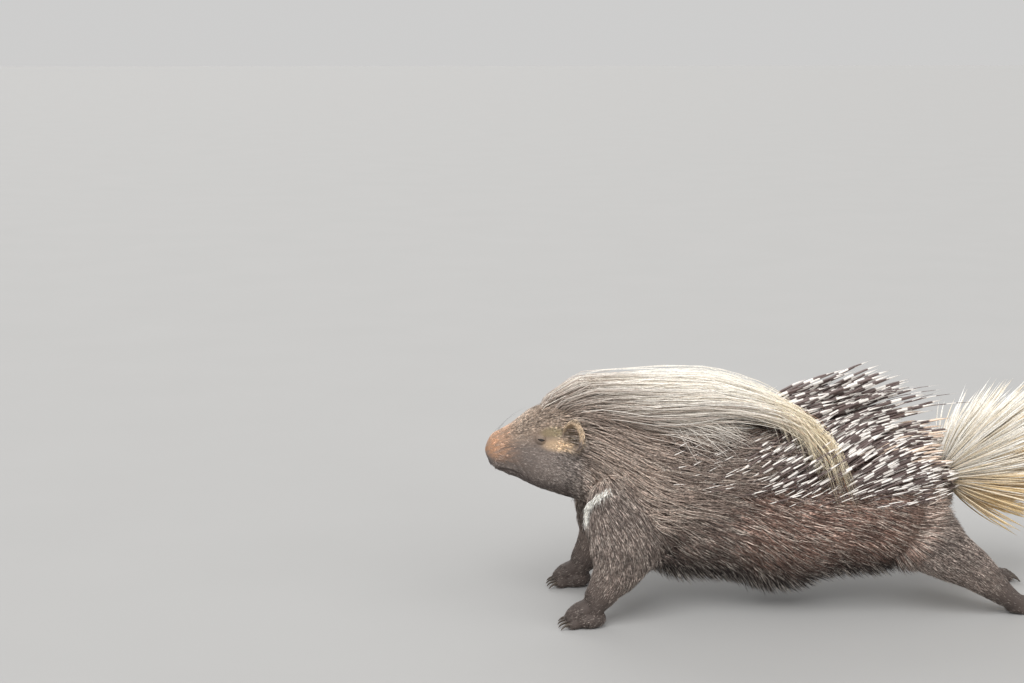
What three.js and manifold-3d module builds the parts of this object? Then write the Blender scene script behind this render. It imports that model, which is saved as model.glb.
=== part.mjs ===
// A Cape porcupine at life size in a low, stretched stance: the belly hangs just above the floor,
// the head is raised, the forelegs reach forward and the hind legs trail behind. Lengths are in millimetres and +Z is up. The nose
// points along -X, and the animal's left side faces -Y.
import * as THREE from "three";
import { mergeVertices } from "three/addons/utils/BufferGeometryUtils.js";
import Module from "manifold-3d";

const wasm = await Module();
wasm.setup();

// Driving dimensions of the body.
const NOSE_X = -383;
const RUMP_X = 398;
const NOSE_ROUNDING = 17;
const RUMP_ROUNDING = 62;
const AROUND = 20;
const HEAD_STEP = 10.5;
const TRUNK_STEP = 34;
const NECK_X = -205;
const GAP = 0.3;

// The back line, the belly line and the half-width of the skin, each as [x, value].
const BACK_LINE = [
  [-383, 285],
  [-366, 298.5],
  [-340, 312.5],
  [-300, 333],
  [-262, 344],
  [-225, 342],
  [-185, 331],
  [-130, 315],
  [-60, 299],
  [40, 283],
  [150, 270],
  [240, 256],
  [310, 240],
  [360, 226],
  [398, 214],
];
const BELLY_LINE = [
  [-383, 250],
  [-366, 239],
  [-340, 226],
  [-300, 206],
  [-262, 191],
  [-225, 178],
  [-195, 160],
  [-160, 122],
  [-120, 74],
  [-60, 55],
  [0, 52],
  [32, 47],
  [58, 39],
  [82, 33],
  [104, 31],
  [124, 33],
  [148, 40],
  [170, 48],
  [194, 53],
  [222, 55],
  [258, 56],
  [290, 62],
  [325, 82],
  [360, 112],
  [398, 146],
];
const HALF_WIDTH = [
  [-383, 27],
  [-366, 30],
  [-340, 33],
  [-300, 43],
  [-262, 53],
  [-225, 59],
  [-190, 68],
  [-150, 84],
  [-100, 102],
  [-20, 118],
  [80, 127],
  [180, 128],
  [260, 119],
  [320, 99],
  [360, 77],
  [398, 58],
];

// Swellings of the face and body: centre on the left side, radius and height. Each is mirrored.
const SWELLINGS = [
  { at: [-284, -48, 232], radius: 34, height: 7 },
  { at: [-303, -36, 318], radius: 15, height: 4 },
  { at: [-364, -28, 262], radius: 17, height: 5 },
  { at: [-374, -10, 283], radius: 12, height: 3 },
  { at: [-348, -16, 230], radius: 11, height: 3 },
  { at: [-120, -96, 190], radius: 60, height: 12 },
  { at: [290, -105, 170], radius: 70, height: 10 },
];

// The parting planes of the body. The nape, with the roots of the crest, goes with the neck.
const NAPE_DEPTH = 14;
const NAPE_START = -286;
const WITHERS_X = -92;
const BRISKET_X = -182;
const LOIN_X = -35;

// Eyes: a ball in a socket with lids around an almond opening.
const EYE_RADIUS = 8;
const EYE_AT = [-294, -37, 294.5];
const LID_THICKNESS = 2.2;
const EYE_OPENING = [12.6, 7];
const EYE_SLANT = 0.1;

// The mouth line in the side view, as [x, z].
const MOUTH_LINE = [
  [-390, 248],
  [-384, 247],
  [-372, 244.5],
  [-352, 242],
  [-336, 238],
  [-329, 233],
];
const MOUTH_WIDTH = 1.8;
const LIP_DEPTH = 5;

// Ears: shallow cups that open forwards and outwards, standing off the head at the rear.
const EAR_HALF = [22, 11, 27];
const EAR_AT = [-242, -57, 302];
const EAR_TURN = [0.12, 0, -0.86];

// Legs, as stations from the shoulder or hip down to the foot, for the left side.
const FORELEG = [
  { at: [-118, -40, 225], half: [44, 26] },
  { at: [-141, -62, 200], half: [74, 42] },
  { at: [-156, -82, 162], half: [76, 42] },
  { at: [-167, -96, 124], half: [61, 37] },
  { at: [-178, -103, 93], half: [46, 32] },
  { at: [-193, -105, 68], half: [33, 28] },
  { at: [-207, -105, 46], half: [26, 25] },
  { at: [-218, -105, 26], half: [24, 24] },
];
const WRIST = { at: [-210, -105, 42], facing: [-0.45, 0, -0.9] };
const FOREPAW = {
  palm: [-223, -105, 14],
  half: [31, 24, 18],
  instep: [-235, -105, 27],
  instepHalf: [31, 21, 15],
  instepTurn: -0.52,
  toes: 4,
  spread: 0.22,
  reach: 23,
};
const HIND_LEG = [
  { at: [236, -40, 150], half: [44, 30] },
  { at: [285, -62, 160], half: [68, 42] },
  { at: [328, -78, 134], half: [63, 43] },
  { at: [366, -88, 106], half: [49, 39] },
  { at: [404, -93, 82], half: [39, 33] },
  { at: [436, -93, 58], half: [31, 28] },
  { at: [462, -92, 36], half: [23, 22] },
  { at: [486, -90, 19], half: [17, 19] },
];
const ANKLE = { at: [464, -92, 33], facing: [0.8, 0.05, -0.6] };
const HIND_PAW = {
  palm: [502, -89, 11],
  half: [36, 20, 13],
  instep: [491, -89, 19],
  instepHalf: [27, 19, 14],
  instepTurn: 0.15,
  toes: 5,
  spread: 0.16,
  reach: 27,
};
const CLAW = { length: 14, thickness: 5 };

// The tail: a short cone that carries a fan of stiff pale quills.
const TAIL = [
  { at: [344, 0, 196], half: [27, 28] },
  { at: [380, 0, 212], half: [27, 29] },
  { at: [406, 0, 224], half: [20, 21] },
  { at: [428, 0, 235], half: [12, 13] },
];
const TAIL_FAN = { rings: 6, each: 8, width: 6, rise: 22 };
const FAN_LENGTH = [
  [-60, 105],
  [-25, 150],
  [5, 200],
  [35, 210],
  [55, 155],
  [72, 100],
  [90, 64],
];

// The crest: layers of long flat locks that rise from the nape, sweep back over the shoulders
// and droop to the left side. The line gives the height of the outer layer above the skin.
const CREST_TOP = [
  [-304, 16],
  [-284, 28],
  [-262, 40],
  [-230, 51],
  [-193, 60],
  [-150, 69],
  [-96, 79],
  [-29, 85],
  [47, 77],
  [90, 68],
  [134, 57],
  [190, 44],
  [236, 31],
];
const CREST = { width: [14, 21], thickness: 4.4, from: -280, to: -130, rise: 24 };
const LOCK_SHAPE = [0.55, 0.9, 1, 1, 0.9, 0.7, 0.4];
const CREST_LAYERS = [
  { height: 0.34, locks: 9, end: [-140, -30], turn: [-58, 28] },
  { height: 0.58, locks: 10, end: [-50, 50], turn: [-52, 17] },
  { height: 0.8, locks: 10, end: [30, 130], turn: [-42, 12] },
  { height: 1, locks: 12, end: [110, 216], turn: [-16, 30] },
];

// The long locks of the outer layer gather to a sheaf: the angle at which one ends, by its end.
const SHEAF = [
  [60, 8],
  [120, 18],
  [160, 30],
  [190, 45],
  [216, 62],
];

// The bristly coat: short flat locks that lie back along the body.
const BRISTLE = { width: 19, thickness: 3.4, lift: 7 };
const NECK_BRISTLES = { x: [-196, -130], rows: 2, turn: [44, 98], each: 4, length: 66 };
const FRONT_BRISTLES = { x: [-112, -50], rows: 2, turn: [34, 122], each: 5, length: 80 };

// The quills: spines over the back and flanks, longest and most raised along the back. Where one
// would cross another piece, it is tried with each share of its length and turn in degrees.
const QUILLS = { x: [2, 376], rows: 14, spacing: 28, thickness: [5, 7] };
const QUILL_REACH = [
  [2, 58],
  [40, 64],
  [80, 64],
  [160, 61],
  [228, 61],
  [282, 57],
  [340, 53],
  [376, 58],
];
const QUILL_DRIFT = [
  [0, 0],
  [20, 20],
  [45, 34],
  [62, 30],
  [80, 12],
];
const QUILL_SHAPE = [0.75, 1];
const QUILL_ATTEMPTS = [
  [1, 0],
  [1, 8],
  [1, -7],
  [0.75, 0],
  [0.75, -9],
  [0.55, -4],
  [0.55, 12],
];
const BACK_LENGTH = [
  [-20, 150],
  [40, 205],
  [100, 238],
  [160, 222],
  [220, 180],
  [280, 130],
  [340, 85],
  [384, 58],
];
const FLANK_LENGTH = [
  [-20, 62],
  [60, 88],
  [150, 104],
  [220, 104],
  [280, 92],
  [340, 74],
  [384, 52],
];
const BACK_TILT = [
  [-20, 30],
  [50, 38],
  [120, 38],
  [200, 31],
  [300, 26],
  [384, 18],
];

const degrees = (value) => (value * Math.PI) / 180;
const mix = THREE.MathUtils.lerp;
const step = THREE.MathUtils.smoothstep;
const mirrored = ([x, y, z], side) => [x, y * side, z];

// Seeded chance, so that every build is the same.
function chance(seed) {
  let state = seed;
  return (low = 0, high = 1) => {
    state = (state * 1664525 + 1013904223) >>> 0;
    return low + ((high - low) * state) / 4294967296;
  };
}

// A smooth value along a line of [x, value] pairs, with no overshoot between them.
function along(line, x) {
  const last = line.length - 1;
  if (x <= line[0][0]) return line[0][1];
  if (x >= line[last][0]) return line[last][1];
  let i = 0;
  while (x > line[i + 1][0]) i++;
  const slope = (k) => (line[k + 1][1] - line[k][1]) / (line[k + 1][0] - line[k][0]);
  const tangent = (k) => {
    if (k === 0) return slope(0);
    if (k === last) return slope(last - 1);
    const before = slope(k - 1);
    const after = slope(k);
    return before * after <= 0 ? 0 : (2 * before * after) / (before + after);
  };
  const span = line[i + 1][0] - line[i][0];
  const t = (x - line[i][0]) / span;
  const t2 = t * t;
  const t3 = t2 * t;
  return (
    (2 * t3 - 3 * t2 + 1) * line[i][1] +
    (t3 - 2 * t2 + t) * span * tangent(i) +
    (3 * t2 - 2 * t3) * line[i + 1][1] +
    (t3 - t2) * span * tangent(i + 1)
  );
}

// How far the section is drawn in where the nose and the rump are rounded off.
function rounding(x) {
  const share = (depth, left) => {
    const u = Math.min(1, Math.max(0, left / depth));
    return Math.sqrt(1 - (1 - u) * (1 - u));
  };
  return share(NOSE_ROUNDING, x - NOSE_X) * share(RUMP_ROUNDING, RUMP_X - x);
}

// A point of the skin at station x. The angle runs from 0 at the back to +90 degrees on the
// left flank (-Y) and 180 under the belly.
function skinPoint(x, angle) {
  const back = along(BACK_LINE, x);
  const belly = along(BELLY_LINE, x);
  const middle = belly + (back - belly) * 0.5;
  const round = rounding(x);
  const up = Math.cos(angle);
  const side = Math.sin(angle);
  const muzzle = step(-x, 250, 360);
  const power = 0.9 - 0.1 * muzzle;
  const trunk = step(x, -200, 0);
  const jaw = 1 - (0.16 + 0.2 * muzzle + 0.16 * trunk) * Math.pow(Math.max(0, -up), 1.5);
  const width = along(HALF_WIDTH, x) * round * jaw;
  const half = (back - belly) * 0.5 * round;
  const point = new THREE.Vector3(
    x,
    -Math.sign(side) * Math.pow(Math.abs(side), power) * width,
    middle + Math.sign(up) * Math.pow(Math.abs(up), power) * half,
  );
  const out = new THREE.Vector3(0, point.y, point.z - middle).normalize();
  for (const s of SWELLINGS) {
    for (const mirror of [1, -1]) {
      const centre = new THREE.Vector3(s.at[0], s.at[1] * mirror, s.at[2]);
      const near = centre.distanceTo(point) / s.radius;
      point.addScaledVector(out, round * s.height * Math.exp(-near * near));
    }
  }
  return point;
}

// The outward normal of the skin, by differences.
function skinNormal(x, angle) {
  const turn = 0.04;
  const ahead = skinPoint(x + 2, angle).sub(skinPoint(x - 2, angle));
  const round = skinPoint(x, angle + turn).sub(skinPoint(x, angle - turn));
  return ahead.cross(round).normalize().negate();
}

const raised = (x, angle, out) => skinPoint(x, angle).addScaledVector(skinNormal(x, angle), out);

// A closed body from rings of points between two end points, on a sphere's net of faces.
function lofted(first, rings, last) {
  const around = rings[0].length;
  const net = new THREE.SphereGeometry(1, around, rings.length + 1);
  const position = net.getAttribute("position");
  const row = around + 1;
  for (let k = 0; k < position.count; k++) {
    const level = Math.floor(k / row);
    const point = level === 0 ? first : level > rings.length ? last : rings[level - 1][(k % row) % around];
    position.setXYZ(k, point.x, point.y, point.z);
  }
  return net;
}

// A three.js geometry as a solid, turned the right way out.
function solid(geometry) {
  const bare = new THREE.BufferGeometry();
  bare.setAttribute("position", geometry.getAttribute("position"));
  if (geometry.index) bare.setIndex(geometry.index);
  const merged = mergeVertices(bare, 1e-3);
  const triVerts = new Uint32Array(merged.index.array);
  const vertProperties = merged.getAttribute("position").array;
  const made = new wasm.Manifold(new wasm.Mesh({ numProp: 3, vertProperties, triVerts }));
  if (made.volume() > 0) return made;
  for (let i = 0; i < triVerts.length; i += 3) {
    [triVerts[i + 1], triVerts[i + 2]] = [triVerts[i + 2], triVerts[i + 1]];
  }
  return new wasm.Manifold(new wasm.Mesh({ numProp: 3, vertProperties, triVerts }));
}

const join = (solids) => wasm.Manifold.union(solids);
const largest = (made) =>
  made.decompose().reduce((best, piece) => (piece.volume() > best.volume() ? piece : best));

// A box between two corners.
function block(low, high) {
  const size = [0, 1, 2].map((k) => high[k] - low[k]);
  const centre = [0, 1, 2].map((k) => (high[k] + low[k]) / 2);
  return solid(new THREE.BoxGeometry(...size).translate(...centre));
}

// An outline in the side view, given as [x, z], cut through from side to side.
function sideCut(outline, halfDepth = 400) {
  const shape = new THREE.Shape(outline.map(([x, z]) => new THREE.Vector2(x, z)));
  const cut = new THREE.ExtrudeGeometry(shape, { depth: 2 * halfDepth, bevelEnabled: false });
  return solid(cut.translate(0, 0, -halfDepth).rotateX(Math.PI / 2));
}

// An ellipsoid with the given half sizes, turned and then moved.
function ellipsoid(half, at, turn = [0, 0, 0], across = 14, down = 10) {
  const ball = new THREE.SphereGeometry(1, across, down).scale(...half);
  ball.applyMatrix4(new THREE.Matrix4().makeRotationFromEuler(new THREE.Euler(...turn)));
  return solid(ball.translate(...at));
}

// The whole skin, grown outwards by the given distance.
function bodySolid(grown = 0, around = AROUND, headStep = HEAD_STEP) {
  const stations = [];
  for (let turn = 1; turn <= 4; turn++) {
    stations.push(NOSE_X + NOSE_ROUNDING * (1 - Math.cos((turn * Math.PI) / 8)));
  }
  const evenly = (from, to, apart) => {
    const count = Math.round((to - from) / apart);
    for (let k = 1; k <= count; k++) stations.push(from + ((to - from) * k) / count);
  };
  evenly(NOSE_X + NOSE_ROUNDING, NECK_X, headStep);
  evenly(NECK_X, RUMP_X - RUMP_ROUNDING, TRUNK_STEP);
  for (let turn = 4; turn >= 1; turn--) {
    stations.push(RUMP_X - RUMP_ROUNDING * (1 - Math.cos((turn * Math.PI) / 10)));
  }
  const rings = stations.map((x) =>
    Array.from({ length: around }, (_, k) => raised(x, (2 * Math.PI * k) / around, grown)),
  );
  const first = skinPoint(NOSE_X, 0).add(new THREE.Vector3(-grown, 0, 0));
  const last = skinPoint(RUMP_X, 0).add(new THREE.Vector3(grown, 0, 0));
  return solid(lofted(first, rings, last));
}

// A limb through stations of centre, half-width along the body and half-width across it.
function limbSolid(stations, grown = 0, around = 12, steps = 7) {
  const path = new THREE.CatmullRomCurve3(stations.map((s) => new THREE.Vector3(...s.at)));
  const alongLine = stations.map((s, k) => [k / (stations.length - 1), s.half[0]]);
  const acrossLine = stations.map((s, k) => [k / (stations.length - 1), s.half[1]]);
  const rings = [];
  const across = new THREE.Vector3(0, 1, 0);
  for (let k = 0; k <= steps; k++) {
    const t = k / steps;
    const centre = path.getPoint(t);
    const ahead = path.getTangent(t);
    const side = across.clone().addScaledVector(ahead, -across.dot(ahead)).normalize();
    const front = new THREE.Vector3().crossVectors(side, ahead);
    rings.push(
      Array.from({ length: around }, (_, j) => {
        const angle = (2 * Math.PI * j) / around;
        return centre
          .clone()
          .addScaledVector(front, Math.cos(angle) * (along(alongLine, t) + grown))
          .addScaledVector(side, Math.sin(angle) * (along(acrossLine, t) + grown));
      }),
    );
  }
  const reach = stations[stations.length - 1].half[0] * 0.45 + grown;
  const first = path.getPoint(0).addScaledVector(path.getTangent(0), -reach);
  const last = path.getPoint(1).addScaledVector(path.getTangent(1), reach);
  return solid(lofted(first, rings, last));
}

// Everything beyond a plane, as a large block turned to face along the direction.
function beyond(at, direction) {
  const side = 300;
  const box = new THREE.BoxGeometry(side, side, side).translate(side / 2, 0, 0);
  const facing = new THREE.Vector3(...direction).normalize();
  box.applyQuaternion(new THREE.Quaternion().setFromUnitVectors(new THREE.Vector3(1, 0, 0), facing));
  return solid(box.translate(...at));
}

// A spine or lock along a curve, from a cone's net of faces. The widths are shares of the full
// width from the root on, and the last row runs out to the point.
function strand(path, width, thickness, shares, sides, facing = null) {
  const rows = shares.length;
  const net = new THREE.ConeGeometry(1, rows, sides, rows);
  const position = net.getAttribute("position");
  const frames = shares.map((share, k) => {
    const t = k / rows;
    const ahead = path.getTangent(t);
    const face = facing ? facing(t) : new THREE.Vector3(0, 0, 1);
    const across = new THREE.Vector3().crossVectors(ahead, face).normalize();
    const over = new THREE.Vector3().crossVectors(across, ahead).normalize();
    return { centre: path.getPoint(t), across, over, share };
  });
  const tip = path.getPoint(1);
  for (let k = 0; k < position.count; k++) {
    const row = Math.round(position.getY(k) + rows / 2);
    if (row === rows) {
      position.setXYZ(k, tip.x, tip.y, tip.z);
      continue;
    }
    const frame = frames[row];
    const radius = Math.hypot(position.getX(k), position.getZ(k));
    const angle = Math.atan2(position.getZ(k), position.getX(k));
    const reach = radius > 1e-6 ? frame.share / 2 : 0;
    const point = frame.centre
      .clone()
      .addScaledVector(frame.across, Math.cos(angle) * width * reach)
      .addScaledVector(frame.over, Math.sin(angle) * thickness * reach);
    position.setXYZ(k, point.x, point.y, point.z);
  }
  return solid(net);
}

const FLOOR = block([-900, -900, -400], [900, 900, 0]);
const wholeBody = bodySolid().subtract(FLOOR);
const bodyClearance = bodySolid(GAP);

// The cuts that part the body, as outlines in the side view.
const headOutline = [
  [-500, -400],
  [NECK_X, -400],
  [NECK_X, along(BACK_LINE, NECK_X) - 34],
  [-216, along(BACK_LINE, -216) - NAPE_DEPTH],
  [-250, along(BACK_LINE, -250) - NAPE_DEPTH],
  [-278, along(BACK_LINE, -278) - NAPE_DEPTH],
  [NAPE_START, along(BACK_LINE, NAPE_START) + 30],
  [NAPE_START, 500],
  [-500, 500],
];
const neckOutline = [
  [-500, -400],
  [BRISKET_X, -400],
  [BRISKET_X, 60],
  [WITHERS_X, 340],
  [WITHERS_X, 500],
  [-500, 500],
];
const grownOutline = (outline) => outline.map(([x, z]) => [x + GAP, Math.abs(z) < 400 ? z + GAP : z]);
const inHead = sideCut(headOutline);
const inHeadGrown = sideCut(grownOutline(headOutline));
const inNeck = sideCut(neckOutline);
const inNeckGrown = sideCut(grownOutline(neckOutline));
const beforeX = (x) => block([-600, -500, -100], [x, 500, 600]);

const headSkin = wholeBody.intersect(inHead);
const neckSkin = wholeBody.intersect(inNeck).subtract(inHeadGrown);
const frontSkin = wholeBody.intersect(beforeX(LOIN_X)).subtract(inNeckGrown);
const rearSkin = wholeBody.subtract(beforeX(LOIN_X + GAP));

// The ball of an eye, or a larger one around it.
function eyeBall(side, radius = EYE_RADIUS) {
  return ellipsoid([radius, radius, radius], mirrored(EYE_AT, side), [0, 0, 0], 11, 7);
}

// Both lids of an eye: a larger ball with an almond opening cut through it.
function eyeLids(side) {
  const [wide, tall] = EYE_OPENING;
  const almond = new THREE.Shape();
  almond.moveTo(-wide / 2, 0);
  almond.quadraticCurveTo(0, tall, wide / 2, 0);
  almond.quadraticCurveTo(0, -tall, -wide / 2, 0);
  const depth = 4 * EYE_RADIUS;
  const opening = new THREE.ExtrudeGeometry(almond, { depth, bevelEnabled: false, curveSegments: 4 });
  opening.rotateZ(EYE_SLANT).rotateX(Math.PI / 2).translate(...EYE_AT);
  if (side < 0) opening.scale(1, -1, 1);
  return eyeBall(side, EYE_RADIUS + LID_THICKNESS).subtract(solid(opening));
}

// The slot of the mouth line, only as deep as the lips.
function mouthCut() {
  const upper = MOUTH_LINE.map(([x, z]) => [x, z + MOUTH_WIDTH / 2]);
  const lower = MOUTH_LINE.map(([x, z]) => [x, z - MOUTH_WIDTH / 2]).reverse();
  return sideCut([...upper, ...lower], 100).subtract(bodySolid(-LIP_DEPTH, 12, 30));
}

// The head with its lids, sockets, nostrils, the groove under the nose and the mouth line.
function headSolid() {
  const lids = [1, -1].map(eyeLids);
  const sockets = [1, -1].map((side) => eyeBall(side, EYE_RADIUS + GAP));
  const nostrils = [1, -1].map((side) =>
    ellipsoid([5, 2.4, 4.2], [NOSE_X + 3, -9.5 * side, 272], [0, 0.5, 0.5 * side], 10, 6),
  );
  const groove = block([NOSE_X - 10, -0.8, 250], [NOSE_X + 2.2, 0.8, 266]);
  const joined = join([headSkin, ...lids]);
  return largest(joined.subtract(join([...sockets, ...nostrils, groove, mouthCut()])));
}

// An ear: an ellipsoid hollowed by a smaller one that is shifted outwards, and trimmed flat.
function earSolid(side, headClearance) {
  const turn = [EAR_TURN[0] * side, EAR_TURN[1], EAR_TURN[2] * side];
  const outward = new THREE.Vector3(0, -1, 0).applyEuler(new THREE.Euler(...EAR_TURN));
  const middle = new THREE.Vector3(...EAR_AT);
  const cupAt = middle.clone().addScaledVector(outward, 5.5).add(new THREE.Vector3(-1, 0, 1));
  const shell = ellipsoid(EAR_HALF, mirrored(EAR_AT, side), turn, 13, 8);
  const cup = ellipsoid([18.6, 11.5, 23.5], mirrored(cupAt.toArray(), side), turn, 10, 6);
  const rim = middle.clone().addScaledVector(outward, 6.5);
  const trim = beyond(mirrored(rim.toArray(), side), mirrored(outward.toArray(), side));
  return largest(shell.subtract(join([cup, trim])).subtract(headClearance));
}

// A foot: the end of the limb, a sole, an instep, and toes with claws that fan out along the heading.
function footSolid(limb, joint, foot, heading) {
  const [x, y] = foot.palm;
  const start = joint.at.map((v, k) => v + joint.facing[k] * GAP);
  const pieces = [limb.intersect(beyond(start, joint.facing))];
  pieces.push(ellipsoid(foot.half, foot.palm, [0, 0, 0], 9, 5));
  pieces.push(ellipsoid(foot.instepHalf, foot.instep, [0, foot.instepTurn, 0], 8, 5));
  for (let k = 0; k < foot.toes; k++) {
    const fan = (k - (foot.toes - 1) / 2) * foot.spread;
    const away = new THREE.Vector3(Math.cos(fan) * heading, Math.sin(fan), 0);
    const toe = new THREE.Vector3(x, y, 7.4).addScaledVector(away, foot.reach);
    toe.y += (k - (foot.toes - 1) / 2) * 4.5;
    const turn = [0, 0, Math.atan2(away.y, away.x)];
    pieces.push(ellipsoid([14, 5.8, 8], toe.toArray(), turn, 6, 3));
    const root = toe.clone().addScaledVector(away, 8);
    const end = toe.clone().addScaledVector(away, 12 + CLAW.length);
    const path = new THREE.QuadraticBezierCurve3(
      root.clone().setZ(9),
      root.clone().lerp(end, 0.6).setZ(10),
      end.setZ(2.2),
    );
    pieces.push(strand(path, CLAW.thickness, CLAW.thickness, [1, 0.7], 3));
  }
  return largest(join(pieces).subtract(FLOOR));
}

// A leg and its foot, parted at the wrist or ankle and kept clear of the body.
function legPair(stations, joint, foot, heading) {
  const limb = limbSolid(stations);
  const leg = largest(limb.subtract(join([beyond(joint.at, joint.facing), bodyClearance, FLOOR])));
  const paw = footSolid(limb, joint, foot, heading);
  return { leg, paw: largest(paw.subtract(bodyClearance)) };
}

const mirror = (made) => largest(made.mirror([0, 1, 0]).subtract(bodyClearance));

const foreleg = legPair(FORELEG, WRIST, FOREPAW, -1);
const hindLeg = legPair(HIND_LEG, ANKLE, HIND_PAW, 1);
const legs = [foreleg.leg, hindLeg.leg, mirror(foreleg.leg), mirror(hindLeg.leg)];
const grownLegs = [FORELEG, HIND_LEG].map((stations) => limbSolid(stations, 0.5).subtract(wholeBody));
const legClearance = join([...grownLegs, ...grownLegs.map((made) => made.mirror([0, 1, 0]))]);

// Whether a piece, or a strand with a little room around it, is clear of another solid.
const clear = (piece, other) => piece.intersect(other).volume() < 0.001;
const strandClear = (path, width, thickness, shares, facing, other) =>
  clear(strand(path, width + 2 * GAP, thickness + 2 * GAP, shares, 3, facing), other);

// The tail with its fan, from rings of quills that spread less and less towards the tip.
function tailSolid() {
  const random = chance(31);
  const keepOut = join([bodyClearance, legClearance]);
  const rise = degrees(TAIL_FAN.rise);
  const axis = new THREE.Vector3(Math.cos(rise), 0, Math.sin(rise));
  const pieces = [limbSolid(TAIL, 0, 10, 6)];
  for (let ring = 0; ring < TAIL_FAN.rings; ring++) {
    const back = ring / (TAIL_FAN.rings - 1);
    const root = new THREE.Vector3(mix(386, 426, back), 0, mix(217, 234, back));
    for (let k = 0; k < TAIL_FAN.each; k++) {
      const turn = (2 * Math.PI * (k + 0.5 * (ring % 2) + random(-0.2, 0.2))) / TAIL_FAN.each;
      const spread = degrees(mix(56, 12, back) + random(-6, 6));
      const radial = new THREE.Vector3(0, Math.cos(turn), Math.sin(turn));
      radial.addScaledVector(axis, -radial.dot(axis)).normalize();
      const toward = axis.clone().multiplyScalar(Math.cos(spread));
      toward.addScaledVector(radial, Math.sin(spread) * (0.7 + 0.3 * Math.abs(Math.sin(turn))));
      const steep = (Math.atan2(toward.z, Math.hypot(toward.x, toward.y)) * 180) / Math.PI;
      const length = along(FAN_LENGTH, steep) * random(0.86, 1.04) * (1 - 0.1 * back);
      const from = root.clone().addScaledVector(radial, 4);
      const end = from.clone().addScaledVector(toward, length);
      const bend = from.clone().lerp(end, 0.5).addScaledVector(axis, -7);
      const path = new THREE.QuadraticBezierCurve3(from, bend, end);
      const quill = strand(path, TAIL_FAN.width, TAIL_FAN.width, QUILL_SHAPE, 3);
      if (clear(quill, keepOut)) pieces.push(quill);
    }
  }
  return largest(join(pieces).subtract(keepOut));
}

// One lock of the crest: it rises from its root to its layer, then turns down to its end.
function crestLock(rootX, rootTurn, endX, endTurn, height, width, late) {
  const place = (t) => {
    const x = mix(rootX, endX, 1 - Math.pow(1 - t, 1.3));
    const turn = mix(rootTurn, endTurn, 0.15 * t + 0.85 * Math.pow(t, late));
    const rise = 1 - Math.exp(-(x - rootX) / CREST.rise);
    return { x, turn, out: t === 0 ? -5 : along(CREST_TOP, x) * height * rise };
  };
  const points = Array.from({ length: 13 }, (_, k) => {
    const { x, turn, out } = place(k / 12);
    return raised(x, turn, out);
  });
  const facing = (t) => {
    const { x, turn } = place(t);
    return skinNormal(x, turn);
  };
  return [new THREE.CatmullRomCurve3(points), width, CREST.thickness, LOCK_SHAPE, 3, facing];
}

// The neck with the whole crest and the bristles of its sides.
function neckSolid() {
  const random = chance(9);
  const pieces = [neckSkin];
  const keepOut = join([...ears, headClearance, legClearance]);
  CREST_LAYERS.forEach((layer, level) => {
    for (let k = 0; k < layer.locks; k++) {
      const share = (k + 0.5) / layer.locks;
      const forward = (k * 0.618 + level * 0.37) % 1;
      const rootX = mix(CREST.from, CREST.to, forward * (1 - 0.5 * layer.height));
      const rootTurn = degrees(mix(-30, 30, share) + random(-4, 4));
      const outer = layer.height === 1 && share > 0.3;
      const endX = mix(...layer.end, 0.65 * share + 0.35 * random());
      const endAngle = outer ? along(SHEAF, endX) : mix(...layer.turn, share);
      const endTurn = degrees(endAngle + random(-4, 4));
      const width = mix(...CREST.width, random());
      const height = layer.height * random(0.94, 1.02);
      const lock = strand(...crestLock(rootX, rootTurn, endX, endTurn, height, width, outer ? 7 : 3));
      if (clear(lock, keepOut)) pieces.push(lock);
    }
  });
  for (const lock of bristles(NECK_BRISTLES, random, keepOut)) pieces.push(lock);
  const past = bodyClearance.subtract(inNeck);
  return largest(join(pieces).subtract(join([headClearance, past, ...grownLegs])));
}

// The bristles of a patch of the skin on both sides, as far as they are clear of other pieces.
function bristles(patch, random, keepOut) {
  const made = [];
  for (const side of [1, -1]) {
    for (let row = 0; row < patch.rows; row++) {
      for (let k = 0; k < patch.each; k++) {
        const x = mix(...patch.x, (row + random(0.2, 0.8)) / patch.rows);
        const around = (k + 0.5 * (row % 2) + random(0.1, 0.5)) / patch.each;
        const turn = side * degrees(mix(...patch.turn, around));
        const length = patch.length * random(0.8, 1.15);
        const out = (t) => (t === 0 ? -4 : BRISTLE.lift * (0.4 + t));
        const place = (t) => raised(x + length * t, turn + side * 0.12 * t, out(t));
        const path = new THREE.CatmullRomCurve3([0, 0.35, 0.7, 1].map(place));
        const facing = (t) => skinNormal(x + length * t, turn);
        const shape = [path, BRISTLE.width, BRISTLE.thickness, [0.7, 1, 0.7]];
        if (strandClear(...shape, facing, keepOut)) made.push(strand(...shape, 3, facing));
      }
    }
  }
  return made;
}

// The curve of a quill that leaves the skin at a tilt, drifts towards the back and levels off.
function quillPath(x, turn, length, tilt) {
  const normal = skinNormal(x, turn);
  const back = skinPoint(x + 2, turn).sub(skinPoint(x - 2, turn)).normalize();
  const upward = skinPoint(x, turn - Math.sign(turn || 1) * 0.05).sub(skinPoint(x, turn)).normalize();
  const fullDrift = along(QUILL_DRIFT, (Math.abs(turn) * 180) / Math.PI);
  const drift = degrees(fullDrift) * (1 - 0.7 * step(x, 120, 320));
  const lie = back.multiplyScalar(Math.cos(drift)).addScaledVector(upward, Math.sin(drift));
  const toward = (angle) =>
    lie.clone().multiplyScalar(Math.cos(angle)).addScaledVector(normal, Math.sin(angle));
  const bow = 0.12 + tilt * 0.25;
  const root = skinPoint(x, turn).addScaledVector(toward(tilt + bow), -12);
  const bend = root.clone().addScaledVector(toward(tilt + bow), length * 0.5 + 6);
  const end = bend.clone().addScaledVector(toward(tilt - bow), length * 0.5 + 6);
  return new THREE.QuadraticBezierCurve3(root, bend, end);
}

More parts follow.
